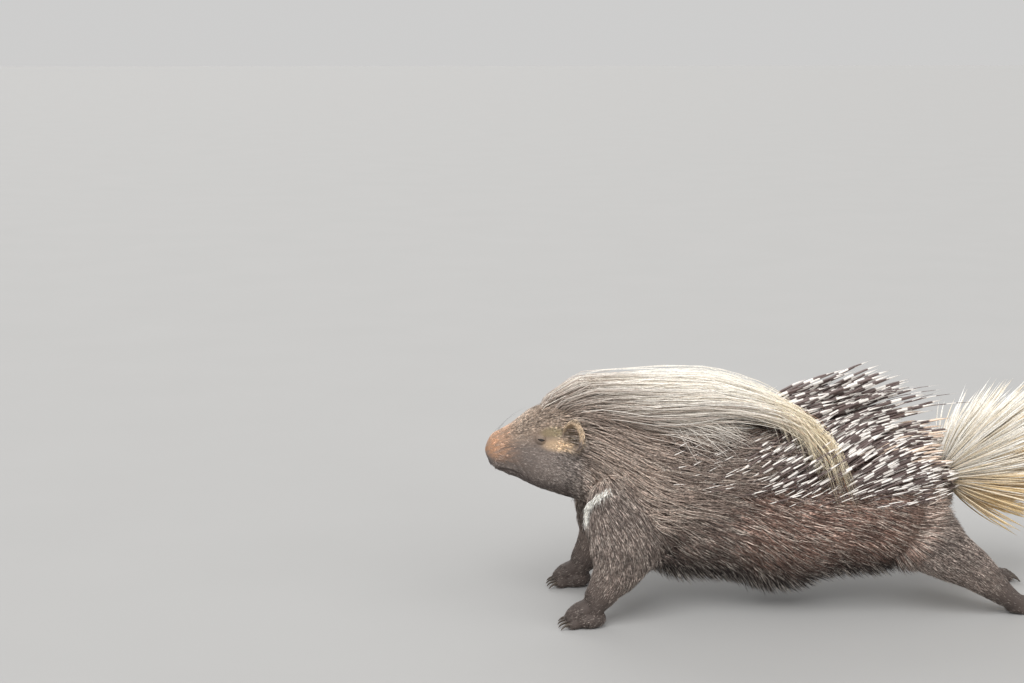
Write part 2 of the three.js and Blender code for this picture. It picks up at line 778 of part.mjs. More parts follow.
// The rear of the trunk with rows of quills from flank to flank.
function rearSolid() {
  const random = chance(19);
  const pieces = [rearSkin];
  const keepOut = join([neck, legClearance, tail, frontSkin]);
  for (let row = 0; row < QUILLS.rows; row++) {
    const share = (row + 0.5) / QUILLS.rows;
    const station = mix(...QUILLS.x, share);
    const reach = along(QUILL_REACH, station);
    const girth = 2 * degrees(reach) * mix(128, 80, step(station, 280, 390));
    const count = Math.round(girth / QUILLS.spacing);
    for (let k = 0; k < count; k++) {
      const around = (k + 0.25 + 0.5 * (row % 2) + random(-0.25, 0.25)) / count;
      const turn = degrees(mix(-reach, reach, around));
      const x = station + random(-9, 9);
      const onBack = Math.pow(Math.max(0, Math.cos(turn)), 1.5);
      const farther = step(-turn, degrees(-22), degrees(8));
      const flankTilt = mix(20, 13, step(x, 120, 300));
      const raisedShare = onBack * mix(0.35, 1, farther);
      const fullLength = mix(along(FLANK_LENGTH, x), along(BACK_LENGTH, x), raisedShare);
      const length = fullLength * random(0.92, 1.08);
      const tilt = mix(flankTilt, along(BACK_TILT, x), raisedShare) + random(-3, 3);
      for (const [shorter, turned] of QUILL_ATTEMPTS) {
        const path = quillPath(x, turn, length * shorter, degrees(Math.max(5, tilt + turned)));
        const width = mix(...QUILLS.thickness, step(length, 70, 200));
        if (!strandClear(path, width, width, QUILL_SHAPE, null, keepOut)) continue;
        pieces.push(strand(path, width, width, QUILL_SHAPE, 3));
        break;
      }
    }
  }
  return largest(join(pieces).subtract(join([legClearance, beforeX(LOIN_X + GAP)])));
}

// The front of the trunk, with the bristles that overlap the rear one.
function frontSolid() {
  const locks = bristles(FRONT_BRISTLES, chance(43), join([neck, torsoRear, legClearance]));
  const past = bodyClearance.subtract(beforeX(LOIN_X));
  return largest(join([frontSkin, ...locks]).subtract(join([legClearance, past])));
}

// The whole animal, each piece kept clear of those made before it.
const head = headSolid();
const headClearance = bodyClearance.intersect(inHeadGrown);
const ears = [1, -1].map((side) => earSolid(side, headClearance));
const tail = tailSolid();
const neck = neckSolid();
const torsoRear = rearSolid();
const torsoFront = frontSolid();

const group = new THREE.Group();
group.name = "porcupine";

// A finished solid as a named mesh with its own material.
function addNode(name, made, colour, roughness, metalness = 0) {
  const mesh = made.getMesh();
  const geometry = new THREE.BufferGeometry();
  geometry.setAttribute("position", new THREE.BufferAttribute(mesh.vertProperties, 3));
  geometry.setIndex(new THREE.BufferAttribute(mesh.triVerts, 1));
  const material = new THREE.MeshStandardMaterial({ color: colour, roughness, metalness });
  const node = new THREE.Mesh(geometry, material);
  node.name = name;
  group.add(node);
}

addNode("head", head, 0x5d4a3c, 0.85);
addNode("eye_left", eyeBall(1), 0x15100c, 0.15);
addNode("eye_right", eyeBall(-1), 0x15100c, 0.15);
addNode("ear_left", ears[0], 0x8a6a50, 0.8);
addNode("ear_right", ears[1], 0x8a6a50, 0.8);
addNode("neck", neck, 0x9c9084, 0.75);
addNode("torso_front", torsoFront, 0x3f3530, 0.85);
addNode("torso_rear", torsoRear, 0x4a413b, 0.6);
addNode("tail", tail, 0xe8e0cf, 0.55);
["leg_front_left", "leg_hind_left", "leg_front_right", "leg_hind_right"].forEach((name, k) =>
  addNode(name, legs[k], 0x332a26, 0.85),
);
addNode("paw_front_left", foreleg.paw, 0x2b2320, 0.8);
addNode("paw_front_right", mirror(foreleg.paw), 0x2b2320, 0.8);
addNode("paw_hind_left", hindLeg.paw, 0x2b2320, 0.8);
addNode("paw_hind_right", mirror(hindLeg.paw), 0x2b2320, 0.8);

const bounds = new THREE.Box3().setFromObject(group);
const centre = bounds.getCenter(new THREE.Vector3());
group.position.set(-centre.x, -centre.y, -bounds.min.z);
export default group;
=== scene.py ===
# A Cape porcupine at life size, as a still museum model in a low, stretched stance: one skin under
# a bristly coat, a long crest that sweeps over the shoulders, banded quills and a fan of pale tail
# quills. Sizes are in millimetres and angles in degrees, until a mesh is made in metres.
import math

import bpy
import numpy as np
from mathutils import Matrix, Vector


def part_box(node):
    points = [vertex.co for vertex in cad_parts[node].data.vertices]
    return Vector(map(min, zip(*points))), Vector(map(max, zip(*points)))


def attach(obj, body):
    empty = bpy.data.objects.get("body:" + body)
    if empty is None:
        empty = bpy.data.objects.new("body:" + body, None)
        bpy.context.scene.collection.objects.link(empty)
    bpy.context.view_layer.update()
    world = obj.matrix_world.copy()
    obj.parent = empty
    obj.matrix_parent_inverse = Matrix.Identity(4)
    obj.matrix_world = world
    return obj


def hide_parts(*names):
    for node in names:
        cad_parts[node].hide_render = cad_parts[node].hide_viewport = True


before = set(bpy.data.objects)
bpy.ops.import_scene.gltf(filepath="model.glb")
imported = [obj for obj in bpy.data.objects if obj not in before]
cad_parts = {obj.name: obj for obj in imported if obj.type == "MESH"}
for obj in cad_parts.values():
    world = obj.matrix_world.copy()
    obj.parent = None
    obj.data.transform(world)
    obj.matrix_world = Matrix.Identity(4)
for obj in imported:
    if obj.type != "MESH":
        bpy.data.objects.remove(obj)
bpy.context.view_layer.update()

# The body's form: a loft from the nose (along -X) to the rump, given by its back line, belly
# line and half-width. An angle round the body runs from 0 at the back to 90 degrees on the left
# flank (-Y) and 180 under the belly. The skin lies under the coat by the coat's depth.
NOSE_X, RUMP_X = -383, 398
NOSE_ROUNDING, RUMP_ROUNDING = 17, 62
BACK_LINE = [
    [-383, 285], [-366, 298.5], [-340, 312.5], [-300, 333], [-262, 344], [-225, 342], [-185, 331],
    [-130, 315], [-60, 299], [40, 283], [150, 270], [240, 256], [310, 240], [360, 226], [398, 214],
]
BELLY_LINE = [
    [-383, 250], [-366, 239], [-340, 226], [-300, 206], [-262, 191], [-225, 178], [-195, 160],
    [-160, 122], [-120, 74], [-60, 55], [0, 52], [32, 47], [58, 39], [82, 33], [104, 31],
    [124, 33], [148, 40], [170, 48], [194, 53], [222, 55], [258, 56], [290, 62], [325, 82],
    [360, 112], [398, 146],
]
HALF_WIDTH = [
    [-383, 27], [-366, 30], [-340, 33], [-300, 43], [-262, 53], [-225, 59], [-190, 68],
    [-150, 84], [-100, 102], [-20, 118], [80, 127], [180, 128], [260, 119], [320, 99],
    [360, 77], [398, 58],
]
SWELLINGS = [
    {"at": [-284, -48, 232], "radius": 34, "height": 7},
    {"at": [-303, -36, 318], "radius": 15, "height": 4},
    {"at": [-364, -28, 262], "radius": 17, "height": 5},
    {"at": [-374, -10, 283], "radius": 12, "height": 3},
    {"at": [-348, -16, 230], "radius": 11, "height": 3},
    {"at": [-120, -96, 190], "radius": 60, "height": 12},
    {"at": [290, -105, 170], "radius": 70, "height": 10},
]
COAT_DEPTH = [[-383, 1], [-345, 1.6], [-300, 2.2], [-255, 4], [-205, 6.5], [-120, 8], [398, 8]]
SQUARENESS = {"body": 0.9, "less_at_head": 0.1}
UNDERSIDE_NARROWING = {"neck": 0.16, "more_at_head": 0.2, "more_at_trunk": 0.16}

MM = 0.001
origin = np.array([
    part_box("head")[0].x / MM - NOSE_X,
    (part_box("ear_left")[0].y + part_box("ear_right")[1].y) / 2 / MM,
    0,
])


def mix(low, high, share):
    return low + (high - low) * share


def smooth(value, low, high):
    """0 below low, 1 above high, and smooth between them."""
    share = np.clip((value - low) / (high - low), 0, 1)
    return share * share * (3 - 2 * share)


def unit(vectors):
    return vectors / np.maximum(np.linalg.norm(vectors, axis=-1, keepdims=True), 1e-9)


def swell(away, radius):
    """1 in the middle of a soft swelling, falling to 0 beyond its radius."""
    return np.exp(-((away / radius) ** 2))


def line(pairs, at):
    """A smooth value along [place, value] pairs, with no overshoot between them."""
    place, value = np.array(pairs, float).T
    at = np.clip(at, place[0], place[-1])
    slope = np.diff(value) / np.diff(place)
    before, after = slope[:-1], slope[1:]
    turning = before * after <= 0
    total = np.where(turning, 1, before + after)
    tangent = np.concatenate([slope[:1], np.where(turning, 0, 2 * before * after / total), slope[-1:]])
    i = np.clip(np.searchsorted(place, at) - 1, 0, len(place) - 2)
    span = place[i + 1] - place[i]
    t = (at - place[i]) / span
    t2, t3 = t * t, t * t * t
    ends = (2 * t3 - 3 * t2 + 1) * value[i] + (3 * t2 - 2 * t3) * value[i + 1]
    return ends + span * ((t3 - 2 * t2 + t) * tangent[i] + (t3 - t2) * tangent[i + 1])


def head_share(x):
    """0 on the trunk, 1 at the muzzle, and smooth over the head."""
    return smooth(-x, 250, 360)


def section(x):
    """Middle height, half-height, half-width, squareness and end rounding of the section at x."""
    back, belly = line(BACK_LINE, x), line(BELLY_LINE, x)
    nose = np.clip((x - NOSE_X) / NOSE_ROUNDING, 0, 1)
    rump = np.clip((RUMP_X - x) / RUMP_ROUNDING, 0, 1)
    rounding = np.sqrt(1 - (1 - nose) ** 2) * np.sqrt(1 - (1 - rump) ** 2)
    power = SQUARENESS["body"] - SQUARENESS["less_at_head"] * head_share(x)
    half, width = (back - belly) / 2 * rounding, line(HALF_WIDTH, x) * rounding
    return (back + belly) / 2, half, width, power, rounding


def body_point(x, turn):
    """The point of the body's form at station x and the given angle round it, in radians."""
    x, turn = np.broadcast_arrays(np.asarray(x, float), np.asarray(turn, float))
    middle, half, width, power, rounding = section(x)
    up, side = np.cos(turn), np.sin(turn)
    less = UNDERSIDE_NARROWING
    chin = less["neck"] + less["more_at_head"] * head_share(x)
    chin = chin + less["more_at_trunk"] * smooth(x, -200, 0)
    narrowed = width * (1 - chin * np.maximum(0, -up) ** 1.5)
    point = np.stack([
        x,
        -np.sign(side) * np.abs(side) ** power * narrowed,
        middle + np.sign(up) * np.abs(up) ** power * half,
    ], -1)
    out = unit(np.stack([np.zeros_like(x), point[..., 1], point[..., 2] - middle], -1))
    for swelling in SWELLINGS:
        for mirror in (1, -1):
            away = np.linalg.norm(point - np.array(swelling["at"]) * [1, mirror, 1], axis=-1)
            height = rounding * swelling["height"] * swell(away, swelling["radius"])
            point = point + out * height[..., None]
    return point


def body_frame(x, turn):
    """Unit vectors at a place of the body: out of it, backwards along it, and down round it."""
    ahead = body_point(x + 2, turn) - body_point(x - 2, turn)
    around = body_point(x, turn + 0.04) - body_point(x, turn - 0.04)
    side = np.sign(np.where(np.asarray(turn) == 0, 1, turn))[..., None]
    return unit(np.cross(around, ahead)), unit(ahead), unit(around) * side


def body_raised(x, turn, out):
    """A place at the given height above the body's form."""
    return body_point(x, turn) + body_frame(x, turn)[0] * np.asarray(out)[..., None]


# The trunk with its legs, feet and the root of the tail, which are lofts of their own. They are
# fused by a fine remesh and smoothed, so that shoulder and haunch run into the trunk.
TRUNK_START = -214
TRUNK_TUCK = {"depth": 3.5, "length": 16}
SKIN_VOXEL = 2.6
SOLE_HEIGHT = 0.4
FORELEG = [
    [-118, -40, 225, 44, 26], [-141, -62, 200, 74, 42], [-156, -82, 162, 76, 42],
    [-167, -96, 124, 61, 37], [-178, -103, 93, 46, 32], [-193, -105, 68, 33, 28],
    [-207, -105, 46, 26, 25], [-217, -105, 27, 17, 22],
]
HIND_LEG = [
    [236, -40, 150, 44, 30], [285, -62, 160, 68, 42], [328, -78, 134, 63, 43],
    [366, -88, 106, 49, 39], [404, -93, 82, 39, 33], [436, -93, 58, 31, 28],
    [462, -92, 36, 23, 22], [486, -90, 19, 17, 19],
]
TAIL_ROOT = [[344, 0, 196, 27, 28], [380, 0, 212, 27, 29], [406, 0, 224, 20, 21], [428, 0, 235, 12, 13]]
LEG_COAT = [[0, 7], [0.5, 5], [0.8, 3], [1, 2]]
LIMB_STEPS = 40
FORE_FOOT = {
    "palm": [-223, -105, 14], "half": [31, 24, 18], "instep": [-235, -105, 27],
    "instep_half": [31, 21, 15], "slope": 0.52, "toes": 4, "spread": 0.22, "reach": 23,
}
HIND_FOOT = {
    "palm": [502, -89, 11], "half": [36, 20, 13], "instep": [491, -89, 19],
    "instep_half": [27, 19, 14], "slope": -0.15, "toes": 5, "spread": 0.16, "reach": 27,
}
TOE_HALF = [13.5, 5.6, 8]
TOE_HEIGHT = 7.6
TOE_JOINT = {"half": [9, 4.6, 6], "back": 11, "up": 2.5}
TOE_SPACING = 4.5
FOOT_COAT = 1.5


def closed_loft(rings, first, last):
    """Points and triangles of a closed body through rings of points, turned the right way out."""
    levels, around = rings.shape[:2]
    points = np.vstack([rings.reshape(-1, 3), first, last])
    k = np.arange(around)
    after = (k + 1) % around
    triangles = [np.stack([np.full(around, levels * around), after, k], 1)]
    for level in range(levels - 1):
        low, high = level * around, (level + 1) * around
        triangles.append(np.stack([low + k, low + after, high + after], 1))
        triangles.append(np.stack([low + k, high + after, high + k], 1))
    low = (levels - 1) * around
    triangles.append(np.stack([low + k, low + after, np.full(around, levels * around + 1)], 1))
    triangles = np.vstack(triangles)
    a, b, c = (points[triangles[:, j]] for j in range(3))
    if np.einsum("ij,ij->", a, np.cross(b, c)) < 0:
        triangles = triangles[:, ::-1]
    return points, triangles


def add_mesh(name, points, triangles):
    """A mesh object from points in millimetres and triangles."""
    mesh = bpy.data.meshes.new(name)
    places = ((points + origin) * MM).astype(np.float32)
    mesh.vertices.add(len(places))
    mesh.vertices.foreach_set("co", places.ravel())
    mesh.loops.add(triangles.size)
    mesh.loops.foreach_set("vertex_index", triangles.astype(np.int32).ravel())
    mesh.polygons.add(len(triangles))
    mesh.polygons.foreach_set("loop_start", np.arange(0, triangles.size, 3, dtype=np.int32))
    mesh.update(calc_edges=True)
    mesh.shade_smooth()
    made = bpy.data.objects.new(name, mesh)
    bpy.context.scene.collection.objects.link(made)
    return made


def applied(made):
    """The object with its modifiers made final."""
    graph = bpy.context.evaluated_depsgraph_get()
    made.data = bpy.data.meshes.new_from_object(made.evaluated_get(graph), depsgraph=graph)
    made.modifiers.clear()
    return made


def joined(name, *shapes):
    """One mesh object from several shapes of points and triangles."""
    starts = np.cumsum([0] + [len(points) for points, _ in shapes])
    triangles = [faces + start for (_, faces), start in zip(shapes, starts)]
    return add_mesh(name, np.vstack([points for points, _ in shapes]), np.vstack(triangles))


def rotation(axis, angle):
    """The matrix of a turn about the x (0), y (1) or z (2) axis."""
    first, second = (axis + 1) % 3, (axis + 2) % 3
    matrix = np.eye(3)
    matrix[first, first] = matrix[second, second] = math.cos(angle)
    matrix[first, second], matrix[second, first] = -math.sin(angle), math.sin(angle)
    return matrix


def ball(half, at, turned=0.0, across=32, down=20):
    """An ellipsoid with the given half sizes, turned about the upright axis."""
    level = np.pi * np.arange(1, down) / down
    angle = 2 * np.pi * np.arange(across) / across
    rings = np.stack([
        np.sin(level)[:, None] * np.cos(angle),
        np.sin(level)[:, None] * np.sin(angle),
        np.repeat(np.cos(level)[:, None], across, 1),
    ], -1) * half
    turn = rotation(2, -turned)
    pole = np.array([0, 0, half[2]])
    return closed_loft(rings @ turn + at, pole + at, np.array(at) - pole)


def limb_line(stations, t):
    """Centre, direction and half sizes of a limb at shares t of its stations."""
    stations = np.array(stations, float)
    padded = np.vstack([2 * stations[0] - stations[1], stations, 2 * stations[-1] - stations[-2]])
    place = np.clip(t, 0, 1) * (len(stations) - 1)
    i = np.minimum(place.astype(int), len(stations) - 2)
    u = (place - i)[:, None]
    a, b, c, d = (padded[i + k] for k in range(4))
    square, cube = a - 2.5 * b + 2 * c - d / 2, 1.5 * (b - c) + (d - a) / 2
    value = b + u * (c - a) / 2 + u**2 * square + u**3 * cube
    slope = (c - a) / 2 + 2 * u * square + 3 * u**2 * cube
    return value[:, :3], unit(slope[:, :3]), value[:, 3:]


def limb(stations, coat, rows=60, around=48):
    """A limb through stations of centre, half-width along the body and half-width across it."""
    t = np.linspace(0, 1, rows)
    centre, ahead, half = limb_line(stations, t)
    half = half - line(coat, t)[:, None]
    side = unit(np.array([0, 1, 0]) - ahead * ahead[:, 1:2])
    front = np.cross(side, ahead)
    angle = 2 * np.pi * np.arange(around) / around
    reach = front[:, None] * (half[:, :1] * np.cos(angle))[..., None]
    reach = reach + side[:, None] * (half[:, 1:] * np.sin(angle))[..., None]
    end = stations[-1][3] * 0.45
    return closed_loft(centre[:, None] + reach, centre[0] - ahead[0] * end, centre[-1] + ahead[-1] * end)


def mirrored(shape):
    points, triangles = shape
    return points * [1, -1, 1], triangles[:, ::-1]


def sloped(shape, at, angle):
    """The shape turned about the crosswise axis through a point, its front end down."""
    x, y, z = (shape[0] - at).T
    turned = [math.cos(angle) * x - math.sin(angle) * z, y, math.sin(angle) * x + math.cos(angle) * z]
    return np.stack(turned, 1) + at, shape[1]


def toes_of(foot, heading):
    """The middle and direction of each toe of a left foot."""
    for k in range(foot["toes"]):
        place = k - (foot["toes"] - 1) / 2
        fan = place * foot["spread"]
        away = np.array([math.cos(fan) * heading, math.sin(fan), 0])
        middle = np.array([foot["palm"][0], foot["palm"][1], TOE_HEIGHT]) + away * foot["reach"]
        yield middle + [0, place * TOE_SPACING, 0], away


def foot_shapes(foot, heading):
    """The palm, instep and toes of a left foot, each an ellipsoid."""
    palm, instep = (np.array(foot[part]) - FOOT_COAT for part in ("half", "instep_half"))
    yield ball(palm, foot["palm"])
    yield sloped(ball(instep, foot["instep"]), foot["instep"], foot["slope"])
    for middle, away in toes_of(foot, heading):
        turned = math.atan2(away[1], away[0])
        joint = middle - away * TOE_JOINT["back"] + [0, 0, TOE_JOINT["up"]]
        yield ball(TOE_HALF, middle, turned, 24, 14)
        yield ball(TOE_JOINT["half"], joint, turned, 20, 12)


def trunk_rings():
    x = np.concatenate([
        np.linspace(TRUNK_START, RUMP_X - RUMP_ROUNDING, 120),
        RUMP_X - RUMP_ROUNDING * (1 - np.cos(np.radians(np.arange(86, 0, -5)))),
    ])
    angle = np.radians(np.arange(0, 360, 3))
    tuck = 1 - smooth(x, TRUNK_START, TRUNK_START + TRUNK_TUCK["length"])
    depth = line(COAT_DEPTH, x) + TRUNK_TUCK["depth"] * tuck
    rings = body_raised(x[:, None], angle[None, :], -depth[:, None] * np.ones(len(angle)))
    return rings, [TRUNK_START, 0, 262], [RUMP_X - 8, 0, section(RUMP_X)[0]]


left_limbs = [limb(FORELEG, LEG_COAT), limb(HIND_LEG, LEG_COAT)]
left_limbs += [*foot_shapes(FORE_FOOT, -1), *foot_shapes(HIND_FOOT, 1)]
skin = joined(
    "skin",
    closed_loft(*trunk_rings()),
    limb(TAIL_ROOT, [[0, 6], [1, 4]], 20, 32),
    *left_limbs,
    *[mirrored(shape) for shape in left_limbs],
)
fuse = skin.modifiers.new("fuse", "REMESH")
fuse.mode = "VOXEL"
fuse.voxel_size = SKIN_VOXEL * MM
ease = skin.modifiers.new("ease", "SMOOTH")
ease.factor = 0.5
ease.iterations = 7
applied(skin)

# The head: a fine loft whose points are moved for the brow, eye hollow, mouth line, lips and
# nostrils. Lids are shells round the eyeballs with a narrow almond opening, half closed as in
# a resting animal.
HEAD_END = -188
EYE_AT = np.array([-294, -37, 294.5])
EYE_RADIUS = 8
LID_THICKNESS = 1.6
EYE_OPENING = [13, 4.6]
EYE_SLANT = -0.24
MOUTH_LINE = [[-390, 248], [-384, 247], [-372, 244.5], [-352, 242], [-336, 238], [-329, 233]]
SOCKET_GAP = 0.2
FACE_FORMS = [
    {"from_eye": [0, 0, 0], "radius": 17, "height": -0.6},
    {"from_eye": [-2, 3, 15], "radius": 11, "height": 2.4},
    {"from_eye": [2, -3, -13], "radius": 8, "height": 1.2},
]
LIPS = [
    {"above": 4.6, "half_width": 2.8, "height": 1.7},
    {"above": -4.4, "half_width": 2.6, "height": 1.2},
]
LIP_GROOVE = {"depth": 3.4, "half_width": 1.15}
NOSTRIL = {"at": [-9.5, 271.5], "half": [2.3, 4.6], "depth": 5.5, "rim_half": [6.5, 9], "rim": 1.4}
NOSE_PARTING = {"from": 249, "to": 266, "half_width": 0.9, "depth": 1.8}
WHISKER_FOLDS = {"pitch": 0.62, "height": 0.45, "above": 4, "half_width": 16}


def head_stations():
    nose = NOSE_X + NOSE_ROUNDING * (1 - np.cos(np.radians(np.arange(6, 90, 6))))
    return np.concatenate([
        nose,
        np.arange(NOSE_X + NOSE_ROUNDING, -322, 0.9),
        np.arange(-322, -255, 1.3),
        np.arange(-255, HEAD_END, 2.2),
    ])


def shape_face(points, normals):
    """Moves the points of the head's skin into the small forms of the face."""
    x, y, z = points.T
    moved = np.zeros(len(points))
    for corner in (1, -1):
        for form in FACE_FORMS:
            away = np.linalg.norm(points - (EYE_AT + form["from_eye"]) * [1, corner, 1], axis=1)
            moved += form["height"] * swell(away, form["radius"])
        across, up = y - NOSTRIL["at"][0] * corner, z - NOSTRIL["at"][1]
        hole = swell(across, NOSTRIL["half"][0]) * swell(up, NOSTRIL["half"][1]) * (x < -366)
        rim = swell(across, NOSTRIL["rim_half"][0]) * swell(up, NOSTRIL["rim_half"][1]) * (x < -364)
        moved += NOSTRIL["rim"] * rim - NOSTRIL["depth"] * hole
    above = z - line(MOUTH_LINE, x)
    at_mouth = 1 - smooth(x, -333, -325)
    for lip in LIPS:
        moved += at_mouth * lip["height"] * swell(above - lip["above"], lip["half_width"])
    moved -= at_mouth * LIP_GROOVE["depth"] * swell(above, LIP_GROOVE["half_width"])
    parting = (z > NOSE_PARTING["from"]) & (z < NOSE_PARTING["to"]) & (x < -372)
    moved -= parting * NOSE_PARTING["depth"] * swell(y, NOSE_PARTING["half_width"])
    fold = np.sin((x + 0.6 * z) * WHISKER_FOLDS["pitch"])
    fold = fold * swell(above - WHISKER_FOLDS["above"], WHISKER_FOLDS["half_width"])
    fold = fold * smooth(x, -350, -330)
    moved += WHISKER_FOLDS["height"] * fold * (1 - smooth(x, -325, -300))
    return points + normals * moved[:, None]


def head_shape():
    x = head_stations()
    angle = np.radians(np.arange(0, 360, 2))
    grid_x, grid_turn = np.meshgrid(x, angle, indexing="ij")
    depth = line(COAT_DEPTH, grid_x) + 4 * smooth(grid_x, -205, HEAD_END)
    normals = body_frame(grid_x, grid_turn)[0]
    points = body_point(grid_x, grid_turn) - normals * depth[..., None]
    shaped = shape_face(points.reshape(-1, 3), normals.reshape(-1, 3)).reshape(points.shape)
    middle = section(NOSE_X)[0]
    return closed_loft(shaped, [NOSE_X + 1, 0, middle], [HEAD_END, 0, 250])


def almond(at, width, height, slant, depth, around=40, rows=4):
    """A prism with an almond outline in the side view, out of the left side."""
    turn = np.linspace(0, 2 * np.pi, around, endpoint=False)
    along = np.cos(turn) * width / 2
    up = np.sign(np.sin(turn)) * (1 - np.cos(turn) ** 2) * height / 2
    inward = np.linspace(0, -depth, rows)
    rings = np.stack([
        np.broadcast_to(along * math.cos(slant) - up * math.sin(slant), (rows, around)),
        np.repeat(inward[:, None], around, 1),
        np.broadcast_to(along * math.sin(slant) + up * math.cos(slant), (rows, around)),
    ], -1) + at
    return closed_loft(rings, np.array(at), np.array(at) + [0, -depth, 0])


def combined(made, tool, operation="UNION"):
    """The object joined with, or cut by, a tool that is then gone."""
    change = made.modifiers.new("change", "BOOLEAN")
    change.operation = operation
    change.object = tool
    change.solver = "MANIFOLD"
    applied(made)
    bpy.data.objects.remove(tool)
    return made


def as_left(shape):
    """A shape of the left side as it is, beside mirrored() for the right side."""
    return shape


head = joined("head_skin", head_shape())
for placed in (as_left, mirrored):
    lids = joined("lids", placed(ball([EYE_RADIUS + LID_THICKNESS] * 3, EYE_AT, 0, 64, 48)))
    opening = joined("opening", placed(almond(EYE_AT, *EYE_OPENING, EYE_SLANT, 30)))
    combined(lids, opening, "DIFFERENCE")
    combined(head, lids)
    socket = joined("socket", placed(ball([EYE_RADIUS + SOCKET_GAP] * 3, EYE_AT, 0, 48, 32)))
    combined(head, socket, "DIFFERENCE")

# The ears: small round cups of skin that stand off the head and open forwards and outwards,
# with a rolled rim. They grow from the head's skin.
EAR_AT = np.array([-242, -57, 302])
EAR_HALF = [21, 26.5]
EAR_TILT, EAR_SWING = 0.12, -0.86
EAR_PROFILE = [
    [0, -10.5], [0.5, -9], [0.8, -6], [0.96, -2], [1, 2], [0.97, 5.4], [0.91, 7], [0.84, 6.6],
    [0.80, 4.4], [0.77, 1], [0.68, -2.6], [0.48, -5.4], [0.22, -6.6], [0, -7],
]


def ear_shape():
    """The left ear: its profile, from the root over the rim to the bottom of the cup, turned round."""
    steps = np.linspace(0, 1, len(EAR_PROFILE))
    profile = np.array(EAR_PROFILE)
    t = np.linspace(0, 1, 44)
    reach = line(np.stack([steps, profile[:, 0]], 1), t)
    out = line(np.stack([steps, profile[:, 1]], 1), t)
    angle = 2 * np.pi * np.arange(64) / 64
    wave = 1 + 0.02 * np.sin(2 * angle + 0.5) + 0.02 * np.sin(5 * angle)
    across = reach[1:-1, None] * EAR_HALF[0] * np.cos(angle) * wave
    up = reach[1:-1, None] * EAR_HALF[1] * np.sin(angle) * wave
    flare = out[1:-1, None] + 0.6 * reach[1:-1, None] ** 2 * np.cos(2 * angle - 0.6)
    local = np.stack([across, -flare, up], -1)
    turn = (rotation(0, EAR_TILT) @ rotation(2, EAR_SWING)).T
    ends = np.array([[0, -out[0], 0], [0, -out[-1], 0]]) @ turn + EAR_AT
    return closed_loft(local @ turn + EAR_AT, ends[0], ends[1])


for placed in (as_left, mirrored):
    combined(head, joined("ear", placed(ear_shape())))
combined(skin, head)
places = np.empty(len(skin.data.vertices) * 3, np.float32)
skin.data.vertices.foreach_get("co", places)
places = places.reshape(-1, 3)
places[:, 2] = np.maximum(places[:, 2], SOLE_HEIGHT * MM)
skin.data.vertices.foreach_set("co", places.ravel())
skin.data.update()
skin.data.shade_smooth()

# The colours of skin and coat, by place on the body, so that both carry the same markings: dark
# brown bristles, a paler face with a rufous nose, a tan patch from eye to ear, near-black feet
# and a narrow white collar on each side of the throat.
COLLARS = [
    [
        [-184, -85, 230, 2], [-190, -87, 225, 4], [-199, -87, 218, 5], [-210, -86, 208, 5.5],
        [-218, -81, 197, 5.5], [-219, -60, 186, 4.5], [-215, -30, 179, 3.5], [-214, 0, 172, 3.5],
    ],
    [[-217, -82, 196, 5.5], [-220, -87, 187, 4.5], [-221, -91, 179, 2.5], [-221, -94, 172, 1.5]],
]
TAN_PATCH = {"at": [-270, -50, 287], "half": [24, 30, 11]}
OLIVE_PATCH = {"at": [-279, -44, 306], "half": [17, 30, 9]}
COLOURS = {
    "flank": 0x8F7367,
    "shoulder": 0x85736A,
    "belly": 0x322926,
    "neck": 0xC8B4A6,
    "brow": 0xB5A292,
    "cheek": 0x9C918B,
    "chin": 0x706561,
    "nose": 0xE2B28F,
    "tan": 0xF0D4B2,
    "olive": 0xB3A383,
    "ear": 0xE0C8AA,
    "cup": 0x9C8E74,
    "leg": 0x94867E,
    "foot": 0x665B56,
    "rump": 0xAD988C,
    "collar": 0xFFFDF6,
    # Pale grey strands among the dark hair: partly grizzled hair, partly a painted sheen highlight.
    "grizzle_and_sheen": 0xE4DACE,
}
SKIN_SHADE = 0.72


def tint(colour):
    """A screen colour, as 0xRRGGBB, in the renderer's linear values."""
    parts = np.array([colour >> 16 & 255, colour >> 8 & 255, colour & 255]) / 255
    return np.where(parts <= 0.04045, parts / 12.92, ((parts + 0.055) / 1.055) ** 2.4)


def turn_of(points):
    """The angle round the body at which each point lies."""
    middle, half, width, power, _ = section(np.clip(points[:, 0], NOSE_X + 1, RUMP_X - 1))
    side = -np.sign(points[:, 1]) * np.abs(points[:, 1] / width) ** (1 / power)
    rise = (points[:, 2] - middle) / half
    return np.arctan2(side, np.sign(rise) * np.abs(rise) ** (1 / power))


def off_body(points, turn):
    """How far each point stands off the body's form, as it does on the legs, ears and tail."""
    x = np.clip(points[:, 0], NOSE_X + 1, RUMP_X - 6)
    out = body_frame(x, turn)[0]
    return np.einsum("ij,ij->i", points - body_point(x, turn), out)


limbs = []
for stations in (FORELEG, HIND_LEG):
    centre, ahead, _ = limb_line(stations, np.linspace(0, 1, LIMB_STEPS))
    for mirror in ([1, 1, 1], [1, -1, 1]):
        limbs.append((centre * mirror, ahead * mirror))
limb_centres = np.concatenate([centre for centre, _ in limbs])
limb_ahead = np.concatenate([ahead for _, ahead in limbs])


def nearest_limb(points):
    """The number of the nearest limb, the share of the way down it, and its direction."""
    number, distance = np.zeros(len(points), int), np.full(len(points), 1e9)
    for k, centre in enumerate(limb_centres):
        away = np.linalg.norm(points - centre, axis=1)
        nearer = away < distance
        number[nearer], distance[nearer] = k, away[nearer]
    return number // LIMB_STEPS, (number % LIMB_STEPS) / (LIMB_STEPS - 1), limb_ahead[number]


